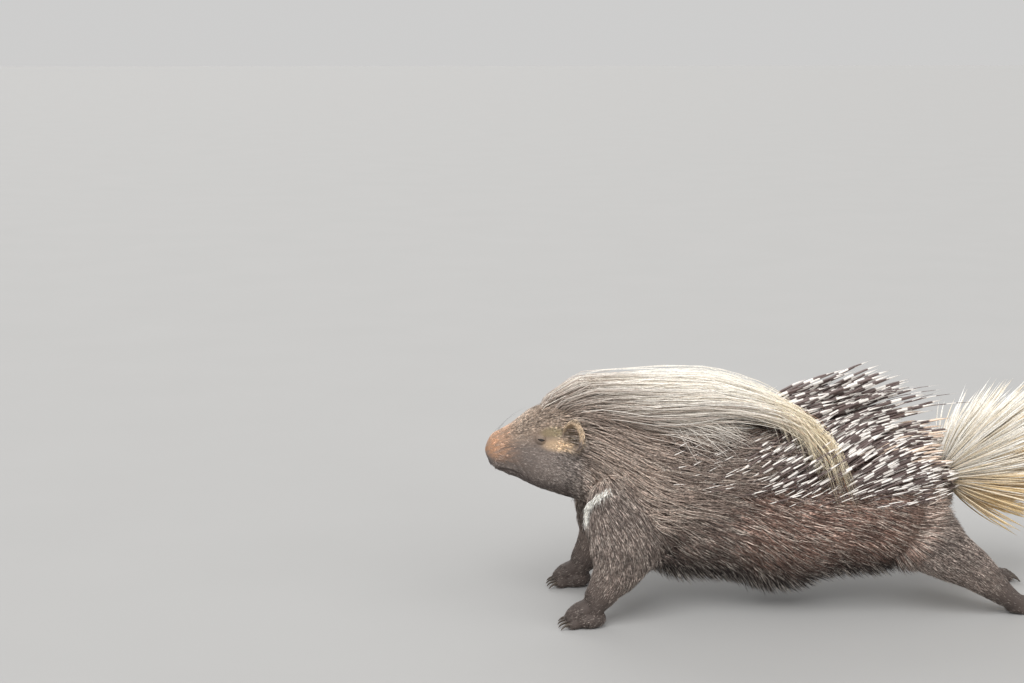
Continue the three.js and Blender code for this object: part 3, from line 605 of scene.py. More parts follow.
def leg_share(points, off):
    """1 on the legs, 0 on the trunk, and smooth over shoulder and haunch."""
    number, down, ahead = nearest_limb(points)
    fore = number < 2
    low = np.where(fore, smooth(-points[:, 2], -150, -70), smooth(points[:, 0], 300, 400))
    share = np.maximum(smooth(off, -3, 16), low * smooth(off, -7, 4))
    return share * (points[:, 0] > -262) * (down > 0.12), number, down, ahead


def on_left(points):
    """Each point, or its mirror image, on the left side."""
    x, y, z = points.T
    return np.stack([x, -np.abs(y), z], 1)


def ear_share(points):
    """1 on the ears and 0 elsewhere."""
    return 1 - smooth(np.linalg.norm(on_left(points) - (EAR_AT + [3, -2, 0]), axis=1), 24, 31)


def cup_share(points):
    """1 inside the hollow of each ear and 0 outside it."""
    facing = [math.sin(EAR_SWING), -math.cos(EAR_SWING), 0]
    left = on_left(points) - EAR_AT
    out = left @ facing
    reach = np.linalg.norm(left - out[:, None] * facing, axis=1)
    return (1 - smooth(reach, 13, 18)) * smooth(out, -9, -4)


def patches(points, size):
    """Soft, irregular patches of about the given size, from 0 to 1."""
    x, y, z = points.T / size
    wave = np.sin(x + 1.7 * np.sin(0.8 * z + 0.4 * y))
    wave = wave + np.sin(1.13 * z - 0.7 * x + 1.3 * np.sin(0.9 * y))
    return 0.5 + 0.25 * (wave * 0.7 + 0.6 * np.sin(1.9 * x + 2.3 * z + 1.1 * y))


def collar_share(points):
    """1 in the white collar on both sides of the throat and 0 outside it."""
    left = on_left(points)
    most = np.zeros(len(points))
    for collar in COLLARS:
        collar = np.array(collar, float)
        for start, end in zip(collar[:-1], collar[1:]):
            run = end[:3] - start[:3]
            share = np.clip((left - start[:3]) @ run / (run @ run), 0, 1)
            away = np.linalg.norm(left - start[:3] - share[:, None] * run, axis=1)
            most = np.maximum(most, 1 - smooth(away / mix(start[3], end[3], share), 0.6, 1.1))
    return most


def coat_colour(points, turn, off, legs, down):
    """The coat's colour at places near the skin."""
    x, _, z = points.T
    around = np.abs(np.degrees(turn))
    colour = np.tile(tint(COLOURS["shoulder"]), (len(points), 1))

    def paint(name, share):
        nonlocal colour
        colour = mix(colour, tint(COLOURS[name]), np.clip(share, 0, 1)[:, None])

    paint("flank", smooth(x, -60, 60))
    paint("neck", 1 - smooth(x, -215, -120))
    paint("rump", smooth(x, 240, 360))
    paint("belly", smooth(around, 96, 150) * smooth(x, -200, -90))
    paint("cheek", 1 - smooth(x, -250, -205))
    paint("brow", (1 - smooth(x, -262, -215)) * (1 - smooth(around, 55, 92)))
    paint("chin", (1 - smooth(x, -262, -225)) * smooth(around, 118, 150))
    rufous = (1 - smooth(x + 0.35 * (z - 270), -366, -318)) * (1 - smooth(around, 78, 118))
    paint("nose", rufous * (0.35 + 0.65 * smooth(patches(points * [0.6, 1, 1], 2), 0.2, 0.62)))
    for name, place in (("olive", OLIVE_PATCH), ("tan", TAN_PATCH)):
        patch = np.linalg.norm((on_left(points) - place["at"]) / place["half"], axis=1)
        paint(name, 1 - smooth(patch, 0.45, 1.3))
    paint("ear", ear_share(points) * smooth(off, -1, 3))
    paint("cup", cup_share(points) * ear_share(points))
    paint("leg", legs)
    paint("foot", legs * smooth(down, 0.55, 0.92))
    paint("collar", collar_share(points))
    return colour


def set_colours(made, colours, name="tint"):
    """Stores a colour for each point of a mesh."""
    layer = made.data.color_attributes.new(name, "FLOAT_COLOR", "POINT")
    layer.data.foreach_set("color", np.column_stack([colours, np.ones(len(colours))]).ravel())


class Finish:
    """A material of nodes for one piece, with its noise in the piece's own space."""

    def __init__(self, name, roughness):
        self.material = bpy.data.materials.new(name)
        self.material.use_nodes = True
        self.nodes, self.links = self.material.node_tree.nodes, self.material.node_tree.links
        self.shader = self.nodes["Principled BSDF"]
        self.shader.inputs["Roughness"].default_value = roughness

    def add(self, kind, inputs=(), **settings):
        """A new node, with each input set to a value or linked to a socket."""
        node = self.nodes.new(kind)
        for key, value in settings.items():
            setattr(node, key, value)
        for key, value in dict(inputs).items():
            if isinstance(value, bpy.types.NodeSocket):
                self.links.new(value, node.inputs[key])
            else:
                node.inputs[key].default_value = value
        return node

    def grain(self, scale, detail, stretch=None):
        """Noise of the given scale, drawn out along the axes where stretch is under 1."""
        place = self.add("ShaderNodeTexCoord").outputs["Object"]
        if stretch:
            place = self.add("ShaderNodeMapping", {"Vector": place, "Scale": stretch}).outputs[0]
        noise = {"Vector": place, "Scale": scale, "Detail": detail}
        return self.add("ShaderNodeTexNoise", noise).outputs[0]

    def blend(self, first, second, share, kind="MIX"):
        """A mix of two colours, each a socket or a value."""
        values = {6: first, 7: second, 0: share}
        return self.add("ShaderNodeMix", values, data_type="RGBA", blend_type=kind).outputs[2]

    def colour(self, socket):
        self.links.new(socket, self.shader.inputs["Base Color"])

    def relief(self, height, strength, depth):
        """Fine bumps, with their depth in metres."""
        bump = self.add("ShaderNodeBump", {"Height": height, "Strength": strength, "Distance": depth})
        self.links.new(bump.outputs[0], self.shader.inputs["Normal"])


def skin_finish():
    """Bare skin and the shortest hair: the markings with a fine grain, and bumps for close fur."""
    finish = Finish("skin", 0.72)
    markings = finish.add("ShaderNodeVertexColor", layer_name="tint").outputs["Color"]
    speck = finish.blend((0.45, 0.42, 0.4, 1), (1.05, 1.02, 1.0, 1), finish.grain(420.0, 4.0))
    blotch = finish.blend((0.8, 0.78, 0.76, 1), (1.12, 1.1, 1.08, 1), finish.grain(38.0, 3.0))
    specked = finish.blend(markings, speck, 1.0, "MULTIPLY")
    finish.colour(finish.blend(specked, blotch, 1.0, "MULTIPLY"))
    finish.relief(finish.grain(700.0, 3.0, (0.35, 1.0, 1.0)), 0.6, 0.0012)
    return finish.material


def points_of(made):
    """The points of a mesh, in the animal's own millimetres."""
    places = np.empty(len(made.data.vertices) * 3, np.float32)
    made.data.vertices.foreach_get("co", places)
    return places.reshape(-1, 3).astype(float) / MM - origin


skin_points = points_of(skin)
skin_turn = turn_of(skin_points)
skin_off = off_body(skin_points, skin_turn)
skin_legs, _, skin_down, _ = leg_share(skin_points, skin_off)
skin_colour = coat_colour(skin_points, skin_turn, skin_off, skin_legs, skin_down)
set_colours(skin, skin_colour * SKIN_SHADE)
skin.data.materials.clear()
skin.data.materials.append(skin_finish())
skin.data.polygons.foreach_set("material_index", np.zeros(len(skin.data.polygons), np.int32))
limb_nodes = [
    f"{part}_{end}_{side}"
    for part in ("leg", "paw")
    for end in ("front", "hind")
    for side in ("left", "right")
]
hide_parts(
    "head", "ear_left", "ear_right", "neck", "torso_front", "torso_rear", "tail", *limb_nodes
)
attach(skin, "root")

# The eyes: dark, wet balls that show only through the narrow opening between the lids.
for name, corner in (("left", 1), ("right", -1)):
    eyeball = joined(f"eyeball_{name}", ball([EYE_RADIUS] * 3, EYE_AT * [1, corner, 1], 0, 48, 32))
    finish = Finish(f"eye_{name}", 0.08)
    cloud = finish.grain(900.0, 2.0)
    finish.colour(finish.blend((0.004, 0.003, 0.002, 1), (0.02, 0.011, 0.006, 1), cloud))
    finish.shader.inputs["Coat Weight"].default_value = 1.0
    eyeball.data.materials.append(finish.material)
    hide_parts(f"eye_{name}")
    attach(eyeball, "root")

# The claws: curved, blunt and dark horn, one from each toe, deeper than they are wide.
CLAW = {"length": 14, "width": 4.2, "depth": 5.6, "rows": 14, "around": 16}
CLAW_ROOT = {"out": 7, "up": 1.2}
CLAW_TIP = {"out": 12, "height": 1.6}
CLAW_BEND = {"share": 0.55, "height": 12.5}


def bowed(start, bend, end, rows):
    """Points of a smooth bow from start to end, drawn towards the bend, as [..., row, place]."""
    t = np.linspace(0, 1, rows)[:, None]
    start, bend, end = (point[..., None, :] for point in (start, bend, end))
    return (1 - t) ** 2 * start + 2 * t * (1 - t) * bend + t**2 * end


def claw_shape(middle, away):
    root = middle + away * CLAW_ROOT["out"] + [0, 0, CLAW_ROOT["up"]]
    end = middle + away * (CLAW_TIP["out"] + CLAW["length"])
    end[2] = CLAW_TIP["height"]
    bend = mix(root, end, CLAW_BEND["share"])
    bend[2] = CLAW_BEND["height"]
    path = bowed(root, bend, end, CLAW["rows"])
    ahead = unit(np.gradient(path, axis=0))
    side = unit(np.cross(ahead, [0, 0, 1]))
    up = np.cross(side, ahead)
    t = np.linspace(0, 1, CLAW["rows"])[:, None]
    size = np.sqrt(np.clip(1 - t**2.2, 0.004, 1)) * (1 - 0.25 * t)
    angle = 2 * np.pi * np.arange(CLAW["around"]) / CLAW["around"]
    rings = path[:, None] + side[:, None] * (np.cos(angle) * CLAW["width"] / 2 * size)[..., None]
    rings = rings + up[:, None] * (np.sin(angle) * CLAW["depth"] / 2 * size)[..., None]
    return closed_loft(rings, root, path[-1])


claw_shapes = []
for foot, heading in ((FORE_FOOT, -1), (HIND_FOOT, 1)):
    for middle, away in toes_of(foot, heading):
        claw_shapes += [claw_shape(middle, away), mirrored(claw_shape(middle, away))]
claws = joined("claws", *claw_shapes)
finish = Finish("claw_horn", 0.38)
layers = finish.grain(600.0, 3.0, (0.2, 1.0, 1.0))
finish.colour(finish.blend((0.018, 0.013, 0.011, 1), (0.13, 0.1, 0.075, 1), layers))
finish.relief(layers, 0.4, 0.0004)
claws.data.materials.append(finish.material)
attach(claws, "root")

# The coat: thin tapered tufts of hair over the skin that overlap along its lie, short on the
# face and feet and long and bristly on neck, shoulders and flanks. Each tuft is solid, leaves
# the skin at a low angle and bends down towards it.
LENGTHS = {
    "nose": 5, "muzzle": 8, "face": 8, "forehead": 32, "ear": 7, "nape": 18, "neck": 32, "collar": 24,
    "flank": 44, "rump": 30, "belly": 34, "shaggy": 33,
}
LEG_LENGTHS = [[0, 27], [0.35, 22], [0.55, 18], [0.72, 14], [0.86, 10], [1, 8]]
LEG_LIFTS = [[0, 19], [0.5, 15], [0.75, 8], [0.9, 9], [1, 14]]
LIFTS = {"all": 15, "hanging": 12, "shaggy": 18, "forehead": 20, "collar": 16, "spread": 4, "least": 5}
FALL = [[-383, 4], [-300, 8], [-230, 5], [-150, 2], [-60, 6], [60, 12], [300, 14], [398, 10]]
SPACINGS = {"trunk": 3.15, "face": 1.9, "foot": 2.4, "leg": 2.6, "ear": 1.6, "shoulder": 2, "collar": 1.7}
SHOULDER_FRONT = {"at": [-186, -84, 238], "radius": 22}
TUFT_WIDTH = {"root": 0.55, "with_length": 0.03, "range": [0.65, 1.8]}
TUFT_TONES = [0.6, 1.05, 1.35]
PATCH = 0.003
DRAWS_PER_TUFT = 5
BOX_NUMBERS, SIZE_LEVELS = 4093, 64
random = np.random.default_rng(5)


def strand_mesh(name, paths, widths, over, flat=0.5, sides=3, colours=None, uv=None, values=None):
    """Closed tapered strands along paths (strand, row, place). Each row has a width, over is the
    side that faces out, and the last row is the point."""
    count, rows = paths.shape[:2]
    ahead = unit(np.gradient(paths, axis=1))
    across = unit(np.cross(ahead, over if over.ndim == 3 else over[:, None]))
    lift = np.cross(across, ahead)
    angle = 2 * np.pi * np.arange(sides) / sides + np.pi / 2
    body = slice(0, rows - 1)
    reach = widths[:, body, None, None] / 2
    ring = paths[:, body, None] + across[:, body, None] * np.cos(angle)[:, None] * reach
    ring = ring + lift[:, body, None] * np.sin(angle)[:, None] * reach * flat
    points = np.concatenate([ring.reshape(count, -1, 3), paths[:, -1:]], 1)
    points[..., 2] = np.maximum(points[..., 2], 0.3)
    each = points.shape[1]
    pattern = [[0, j + 1, j] for j in range(1, sides - 1)]
    rim = [(j, (j + 1) % sides) for j in range(sides)]
    for start in range(0, (rows - 2) * sides, sides):
        for j, after in rim:
            a, b = start + j, start + after
            pattern += [[a, b, b + sides], [a, b + sides, a + sides]]
    last = (rows - 2) * sides
    pattern += [[last + j, last + after, each - 1] for j, after in rim]
    pattern = np.array(pattern)[:, ::-1]
    triangles = (np.arange(count)[:, None, None] * each + pattern).reshape(-1, 3)
    made = add_mesh(name, points.reshape(-1, 3), triangles)
    share = np.append(np.repeat(np.arange(rows - 1), sides), rows - 1)
    if colours is not None:
        set_colours(made, colours[:, share].reshape(-1, 3))
    for key, value in (values or {}).items():
        layer = made.data.attributes.new(key, "FLOAT", "POINT")
        layer.data.foreach_set("value", value[:, share].ravel().astype(np.float32))
    side = np.append(np.tile(np.arange(sides), rows - 1), (sides - 1) / 2) / (sides - 1)
    patch = np.stack([side - 0.5, share / (rows - 1) - 0.5], 1) * PATCH
    unwrap = (uv[:, None] + patch).reshape(-1, 2)[triangles.ravel()]
    layer = made.data.uv_layers.new(name="OFBake")
    layer.data.foreach_set("uv", unwrap.astype(np.float32).ravel())
    return made


def spread_roots(spacing):
    """Places spread evenly over the skin, with its normal there."""
    mesh = skin.data
    mesh.calc_loop_triangles()
    corners = np.empty(len(mesh.loop_triangles) * 3, np.int32)
    mesh.loop_triangles.foreach_get("vertices", corners)
    corners = corners.reshape(-1, 3)
    normals = np.empty(len(mesh.vertices) * 3, np.float32)
    mesh.vertices.foreach_get("normal", normals)
    normals = normals.reshape(-1, 3).astype(float)
    a, b, c = (skin_points[corners[:, k]] for k in range(3))
    area = np.linalg.norm(np.cross(b - a, c - a), axis=1) / 2
    middle_spacing = spacing((a + b + c) / 3)
    weight = area / middle_spacing**2
    draws = int(weight.sum() * DRAWS_PER_TUFT)
    picked = random.choice(len(area), draws, p=weight / weight.sum())
    s, t = random.random((2, draws))
    over = s + t > 1
    s[over], t[over] = 1 - s[over], 1 - t[over]
    place = a[picked] + (b - a)[picked] * s[:, None] + (c - a)[picked] * t[:, None]
    share = np.stack([1 - s - t, s, t], 1)
    normal = unit(np.einsum("ij,ijk->ik", share, normals[corners[picked]]))
    cell = middle_spacing[picked]
    level = np.round(np.log2(cell) * 3).astype(int)
    size = 2.0 ** (level / 3)
    boxes = np.floor(place / size[:, None]).astype(np.int64)
    key = (boxes[:, 0] * BOX_NUMBERS + boxes[:, 1]) * BOX_NUMBERS + boxes[:, 2]
    _, first = np.unique(key * SIZE_LEVELS + level, return_index=True)
    first.sort()
    return place[first], normal[first]


def tuft_spacing(points):
    """The distance between tufts, finest on the ears, face and feet."""
    x, _, z = points.T
    spacing = mix(SPACINGS["trunk"], SPACINGS["face"], 1 - smooth(x, -260, -200))
    foot = (1 - smooth(z, 30, 60)) * ((x < -150) | (x > 420))
    spacing = mix(spacing, SPACINGS["foot"], foot)
    on_limbs = ((x < -120) | (x > 330)) & (z < 150) & (x > -280)
    spacing = np.where(on_limbs, np.minimum(spacing, SPACINGS["leg"]), spacing)
    spacing = np.where(ear_share(points) > 0.5, SPACINGS["ear"], spacing)
    front = np.linalg.norm(on_left(points) - SHOULDER_FRONT["at"], axis=1)
    spacing = np.where(front < SHOULDER_FRONT["radius"], SPACINGS["shoulder"], spacing)
    return np.where(collar_share(points) > 0, SPACINGS["collar"], spacing)


root, normal = spread_roots(tuft_spacing)
turn = turn_of(root)
off = off_body(root, turn)
legs, number, down, limb_way = leg_share(root, off)
ears = ear_share(root) * smooth(off, -1, 3)
x, y, z = root.T
around = np.abs(np.degrees(turn))
eye_near = np.linalg.norm(on_left(root) - EYE_AT, axis=1)
slit = np.stack([x, z], 1) - EYE_AT[[0, 2]]
slit_x = slit @ [math.cos(EYE_SLANT), math.sin(EYE_SLANT)]
slit_z = slit @ [-math.sin(EYE_SLANT), math.cos(EYE_SLANT)]
in_slit = (eye_near < 12) & ((slit_x / 8) ** 2 + (slit_z / 3.7) ** 2 < 1)
in_mouth = (np.abs(z - line(MOUTH_LINE, x)) < 1.6) & (x < -330)
out_of_cup = np.stack([-0.4 * np.ones(len(x)), np.sign(y), 0 * x], 1)
in_cup = (ears > 0.5) & (np.einsum("ij,ij->i", normal, out_of_cup) > 0.35)
on_nose = (x < -377) & (z > 258) & (np.abs(y) < 16)
bare = in_mouth | in_slit | on_nose | (z < 1.2) | (in_cup & (random.random(len(x)) < 0.4))

# The lie of the coat: backwards from the nose, falling towards the belly on neck, shoulder and
# flank, and down the legs to the toes.
_, back_way, down_way = body_frame(np.clip(x, NOSE_X + 3, RUMP_X - 8), turn)
fall = np.radians(line(FALL, x)) + np.radians(20) * smooth(around, 78, 112) * smooth(x, -330, -230)
fall = fall * smooth(around, 18, 80) * (1 - smooth(around, 150, 178))
body_way = back_way * np.cos(fall)[:, None] + down_way * np.sin(fall)[:, None]
fore = (number < 2)[:, None]
upper = (1 - smooth(down, 0.35, 0.7))[:, None]
leg_way = unit(limb_way + np.where(fore, [0.6, 0, -0.25], [0.1, 0, -0.1]) * upper)
toe_way = np.where(fore, [-1.0, 0, -0.25], [1.0, 0, -0.25])
leg_way = mix(leg_way, toe_way, smooth(down, 0.74, 1)[:, None])
ear_way = unit(np.stack([0.5 * np.ones(len(x)), 0.35 * np.sign(y), np.ones(len(x)) * 0.8], 1))
settled = np.maximum(smooth(down, 0.16, 0.52), smooth(-normal[:, 0], 0.15, 0.7)) * legs
collar = collar_share(root)
collar_way = np.array([-0.35, 0, -1.0])
way = mix(mix(body_way, leg_way, settled[:, None]), ear_way, ears[:, None])
way = mix(way, collar_way, 0.8 * collar[:, None])
way = way + random.normal(0, 0.1, way.shape)
way = unit(way - normal * np.einsum("ij,ij->i", way, normal)[:, None])

# The length of each tuft, how far it lifts off the skin, and its colour from root to tip.
length = line([
    [-383, LENGTHS["nose"]], [-345, LENGTHS["muzzle"]], [-290, LENGTHS["face"]],
    [-250, LENGTHS["nape"]], [-190, LENGTHS["neck"]], [-90, LENGTHS["flank"]],
    [300, LENGTHS["flank"]], [398, LENGTHS["rump"]],
], x)
forehead = smooth(x, -364, -316) * (1 - smooth(around, 30, 66)) * (x < -220)
hanging = smooth(around, 118, 150) * smooth(x, -150, -90) * (1 - smooth(x, 320, 380))
shaggy = hanging * (random.random(len(x)) < 0.5)
length = mix(length, LENGTHS["forehead"], forehead)
length = mix(length, np.minimum(length, LENGTHS["belly"]), smooth(around, 120, 160))
length = mix(length, LENGTHS["shaggy"], shaggy)
length = mix(length, line(LEG_LENGTHS, down), legs)
length = mix(length, LENGTHS["ear"], ears)
length = mix(length, LENGTHS["collar"], collar)
length = np.minimum(length, 2 + 0.8 * np.maximum(eye_near - 10, 0))
length = length * random.uniform(0.75, 1.25, len(length))
body_lift = LIFTS["all"] + LIFTS["hanging"] * hanging + LIFTS["shaggy"] * shaggy
body_lift = body_lift + LIFTS["forehead"] * forehead
lift = mix(body_lift, line(LEG_LIFTS, down), legs) + LIFTS["collar"] * collar
lift = lift + random.normal(0, LIFTS["spread"], len(length))
lift = np.radians(np.maximum(lift, LIFTS["least"]))
colour = coat_colour(root, turn, off, legs, down)
shade = np.exp(random.normal(0, 0.3, len(root)))[:, None]
grey = random.random(len(root))[:, None]
on_face = (1 - smooth(x, -262, -225))[:, None]
cloud = mix(0.72, 1.3, patches(root * [0.45, 1, 1], 7))
cloud = (cloud * mix(0.74, 1.28, patches(root * [0.6, 1, 1], 1.3)))[:, None]
paler = np.where(grey > 0.8, 1.25, np.where(grey < 0.3, 0.55, 1.0)) * np.clip(shade, 0.5, 1.8)
paler = mix(paler * cloud, np.clip(paler, 0.7, 1.3) * cloud, on_face)
paler = mix(paler, 1, collar[:, None])
# Some strands drawn towards pale grey, partly grizzled hair and partly a painted sheen highlight; less on
# face and legs, none in the collar.
grizzle_and_sheen = (grey > 0.72) * mix(0.5, 0.18, on_face) * (1 - collar[:, None]) * (1 - 0.4 * legs[:, None])
t = np.array([0, 0.5, 1])
path_out = np.sin(lift)[:, None] * length[:, None] * t * (1 - 0.62 * t * (1 - 0.75 * shaggy[:, None]))
path_along = np.cos(lift)[:, None] * length[:, None] * t
sway = random.normal(0, 0.07, len(root))[:, None] * length[:, None] * t**2
paths = root[:, None] - normal[:, None] * 0.8 + way[:, None] * path_along[..., None]
paths = paths + normal[:, None] * path_out[..., None] + np.cross(normal, way)[:, None] * sway[..., None]
width = np.clip(TUFT_WIDTH["root"] + length * TUFT_WIDTH["with_length"], *TUFT_WIDTH["range"])
width = width * random.uniform(0.7, 1.2, len(length))
widths = width[:, None] * np.array([0.85, 1.0, 0.0])
tuft_colours = mix(colour * paler, tint(COLOURS["grizzle_and_sheen"]), grizzle_and_sheen)[:, None]
tuft_colours = tuft_colours * np.array(TUFT_TONES)[None, :, None]


def coat_finish(name, roughness=0.42, contrast=0.5):
    """Hair: its own tint with a fine streak along each tuft, and a soft gloss."""
    finish = Finish(name, roughness)
    tinted = finish.add("ShaderNodeVertexColor", layer_name="tint").outputs["Color"]
    streak = finish.add(
        "ShaderNodeMapRange", {"Value": finish.grain(260.0, 3.0), "From Min": 0.32, "From Max": 0.68}
    ).outputs[0]
    tone = finish.blend((1 - contrast,) * 3 + (1,), (1 + contrast,) * 3 + (1,), streak)
    finish.colour(finish.blend(tinted, tone, 1.0, "MULTIPLY"))
    finish.shader.inputs["Specular IOR Level"].default_value = 0.45
    return finish.material


def body_unwrap(x, turn):
    """A place on the body's own unwrap: along it, and round it from the belly."""
    return np.stack([mix(0.03, 0.97, (x - NOSE_X) / (RUMP_X - NOSE_X)), 0.5 + 0.47 * turn / np.pi], 1)


def limb_unwrap(root, number, down):
    """A place on a leg's own unwrap, one strip to each leg."""
    centre = limb_centres[number * LIMB_STEPS + (down * (LIMB_STEPS - 1)).astype(int)]
    angle = np.arctan2(root[:, 1] - centre[:, 1], root[:, 0] - centre[:, 0])
    return np.stack([(number + 0.5 + 0.44 * angle / np.pi) / 4, mix(0.03, 0.97, down)], 1)


hair_finish = coat_finish("coat_hair")
on_leg = (legs > 0.6) & (x > -262)
on_head = (x < -232) & ~on_leg
on_trunk = ~on_leg & ~on_head & ~bare
coat_parts = [("coat_head", on_head & ~bare, "coat_head")]
for part, chosen in (
    ("front", on_trunk & (x < 40)),
    ("rear", on_trunk & (x >= 40)),
    ("legs", on_leg & ~bare),
):
    coat_parts.append((f"coat_{part}_left", chosen & (y < 0), "coat_dark"))
    coat_parts.append((f"coat_{part}_right", chosen & (y >= 0), "coat_dark"))
for name, chosen, slot in coat_parts:
    uv = limb_unwrap(root, number, down) if name.startswith("coat_legs") else body_unwrap(x, turn)
    tufts = strand_mesh(
        name, paths[chosen], widths[chosen], normal[chosen], 0.45, 3, tuft_colours[chosen], uv[chosen]
    )
    tufts.data.materials.append(hair_finish)
    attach(tufts, "root")

# The whiskers: long, stiff black hairs in rows on each side of the muzzle, rooted in the skin.
WHISKERS = {
    "each": 20, "x": [-372, -346], "turn": [66, 104], "length": [45, 100], "width": 0.36,
    "root_depth": 2.5, "rows": 9, "grey": 0.06,
}
count = WHISKERS["each"] * 2
whisker_x = random.uniform(*WHISKERS["x"], count)
whisker_turn = np.radians(random.uniform(*WHISKERS["turn"], count)) * np.repeat([1, -1], WHISKERS["each"])
out_way, back_way, down_way = body_frame(whisker_x, whisker_turn)
whisker_length = random.uniform(*WHISKERS["length"], count)
leave = unit(out_way * 0.75 + back_way * 0.55 + down_way * random.uniform(-0.3, 0.35, (count, 1)))
settle = unit(back_way + out_way * 0.3 + [0, 0, -0.22])
start = body_raised(whisker_x, whisker_turn, np.full(count, -WHISKERS["root_depth"]))
t = np.linspace(0, 1, WHISKERS["rows"])[None, :, None]
course = leave[:, None] * (t - t**2 / 2) + settle[:, None] * t**2 / 2
whisker_widths = np.full((count, WHISKERS["rows"]), WHISKERS["width"]) * (1 - 0.6 * t[..., 0])
whiskers = strand_mesh(
    "whiskers", start[:, None] + whisker_length[:, None, None] * course, whisker_widths, out_way, 1.0, 4,
    np.full((count, WHISKERS["rows"], 3), WHISKERS["grey"]), body_unwrap(whisker_x, whisker_turn),
)
whiskers.data.materials.append(coat_finish("whisker_hair", 0.3, 0.2))
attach(whiskers, "root")

# The mantle: bristles longer than the coat that lie back over neck and shoulders, in dull brown
# with paler streaks, and lead from the crest into the coat.
MANTLE = {"each": 7000, "x": [-262, 96], "turn": 6, "length": [62, 118], "width": 1.2, "rise": [6, 22]}
MANTLE_REACH = [[-262, 60], [-235, 92], [-200, 104], [-150, 96], [-60, 84], [20, 54], [96, 40]]
MANTLE_DROP = [[-262, -1], [-160, 0], [-60, -2], [20, -6]]
MANTLE_LIFT = [[0, 2.3], [25, 2.1], [50, 1.2], [90, 0.6]]
MANTLE_COLOURS = {"shoulder": 0xA59287, "neck": 0xCDB9AB, "streak": 0xD2C8BC}
count = MANTLE["each"]
mantle_x = mix(*MANTLE["x"], random.random(count) ** 0.85)
mantle_turn = np.radians(mix(MANTLE["turn"], line(MANTLE_REACH, mantle_x), random.random(count)))
mantle_turn = mantle_turn * random.choice([-1, 1], count)
mantle_length = random.uniform(*MANTLE["length"], count)
mantle_length = mantle_length * line([[-262, 0.6], [-200, 1], [20, 0.8]], mantle_x)
t = np.array([0, 0.15, 0.38, 0.66, 1])[None, :]
place_x = mantle_x[:, None] + mantle_length[:, None] * t
drop = np.radians(line(MANTLE_DROP, mantle_x) + random.normal(0, 4, count)) * np.sign(mantle_turn)
place_turn = mantle_turn[:, None] + drop[:, None] * t**1.4 * mantle_length[:, None] / 60
rise = random.uniform(*MANTLE["rise"], (count, 1))
rise = rise * line(MANTLE_LIFT, np.degrees(np.abs(mantle_turn)))[:, None]
mantle_out = rise * (1 - (1 - t) ** 2.2) * mix(1, 0.72, t**2) - 6 * (1 - t) ** 4
mantle_paths = body_raised(place_x, place_turn, mantle_out)
kind = random.random((count, 1, 1))
on_neck = 1 - smooth(mantle_x, -200, -60)[:, None, None]
mantle_colours = mix(tint(MANTLE_COLOURS["shoulder"]), tint(MANTLE_COLOURS["neck"]), on_neck)
mantle_colours = mantle_colours * np.where(kind < 0.36, 0.5, 1.0)
mantle_colours = mix(mantle_colours, tint(MANTLE_COLOURS["streak"]), np.where(kind > 0.76, 0.55, 0.0))
mantle_colours = mantle_colours * line([[0, 0.6], [0.4, 1], [1, 1.25]], t)[..., None]
mantle_widths = MANTLE["width"] * random.uniform(0.6, 1.2, (count, 1))
mantle = strand_mesh(
    "mantle", mantle_paths, mantle_widths * line([[0, 0.8], [0.5, 1], [1, 0.3]], t),
    body_frame(place_x, place_turn)[0], 0.6, 3, mantle_colours, body_unwrap(mantle_x, mantle_turn),
)
mantle.data.materials.append(hair_finish)
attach(mantle, "root")

# The crest: long, flexible bristles that rise from forehead and nape, sweep back over the
# shoulders and droop to the left side, where the longest gather into a narrow sheaf. The line
# gives the outer bristles' height over the skin.
CREST_TOP = [
    [-304, 14], [-284, 25], [-262, 38], [-230, 51], [-193, 60], [-150, 69], [-96, 79], [-29, 85],
    [47, 77], [90, 68], [134, 57], [190, 44], [236, 31],
]
CREST = {"from": -303, "to": -120, "rise": 30, "width": 1.35, "rows": 12, "each": 2450, "locks": 520}
CREST_LAYERS = [
    {"height": [0.06, 0.42], "end": [-170, 36], "turn": [-62, 34], "share": 0.28},
    {"height": [0.34, 0.72], "end": [-110, 50], "turn": [-54, 22], "share": 0.2},
    {"height": [0.62, 0.92], "end": [-20, 96], "turn": [-42, 12], "share": 0.18},
    {"height": [0.84, 1.03], "end": [96, 214], "turn": [-16, 30], "share": 0.34},
]
OUTER_LAYER = 3
SHEAF = [[60, 10], [120, 22], [155, 34], [182, 50], [200, 66], [212, 84]]
CREST_COLOURS = {
    "root": 0x9A887C, "brown": 0xC2B2A6, "grey": 0xF0E8DE, "white": 0xFFFCF5, "cream": 0xFAF1E1,
    "straw": 0xFFF1D4, "rust": 0xD3A880,
}
CREST_ROWS = np.linspace(0, 1, CREST["rows"])[None, :] ** 1.3


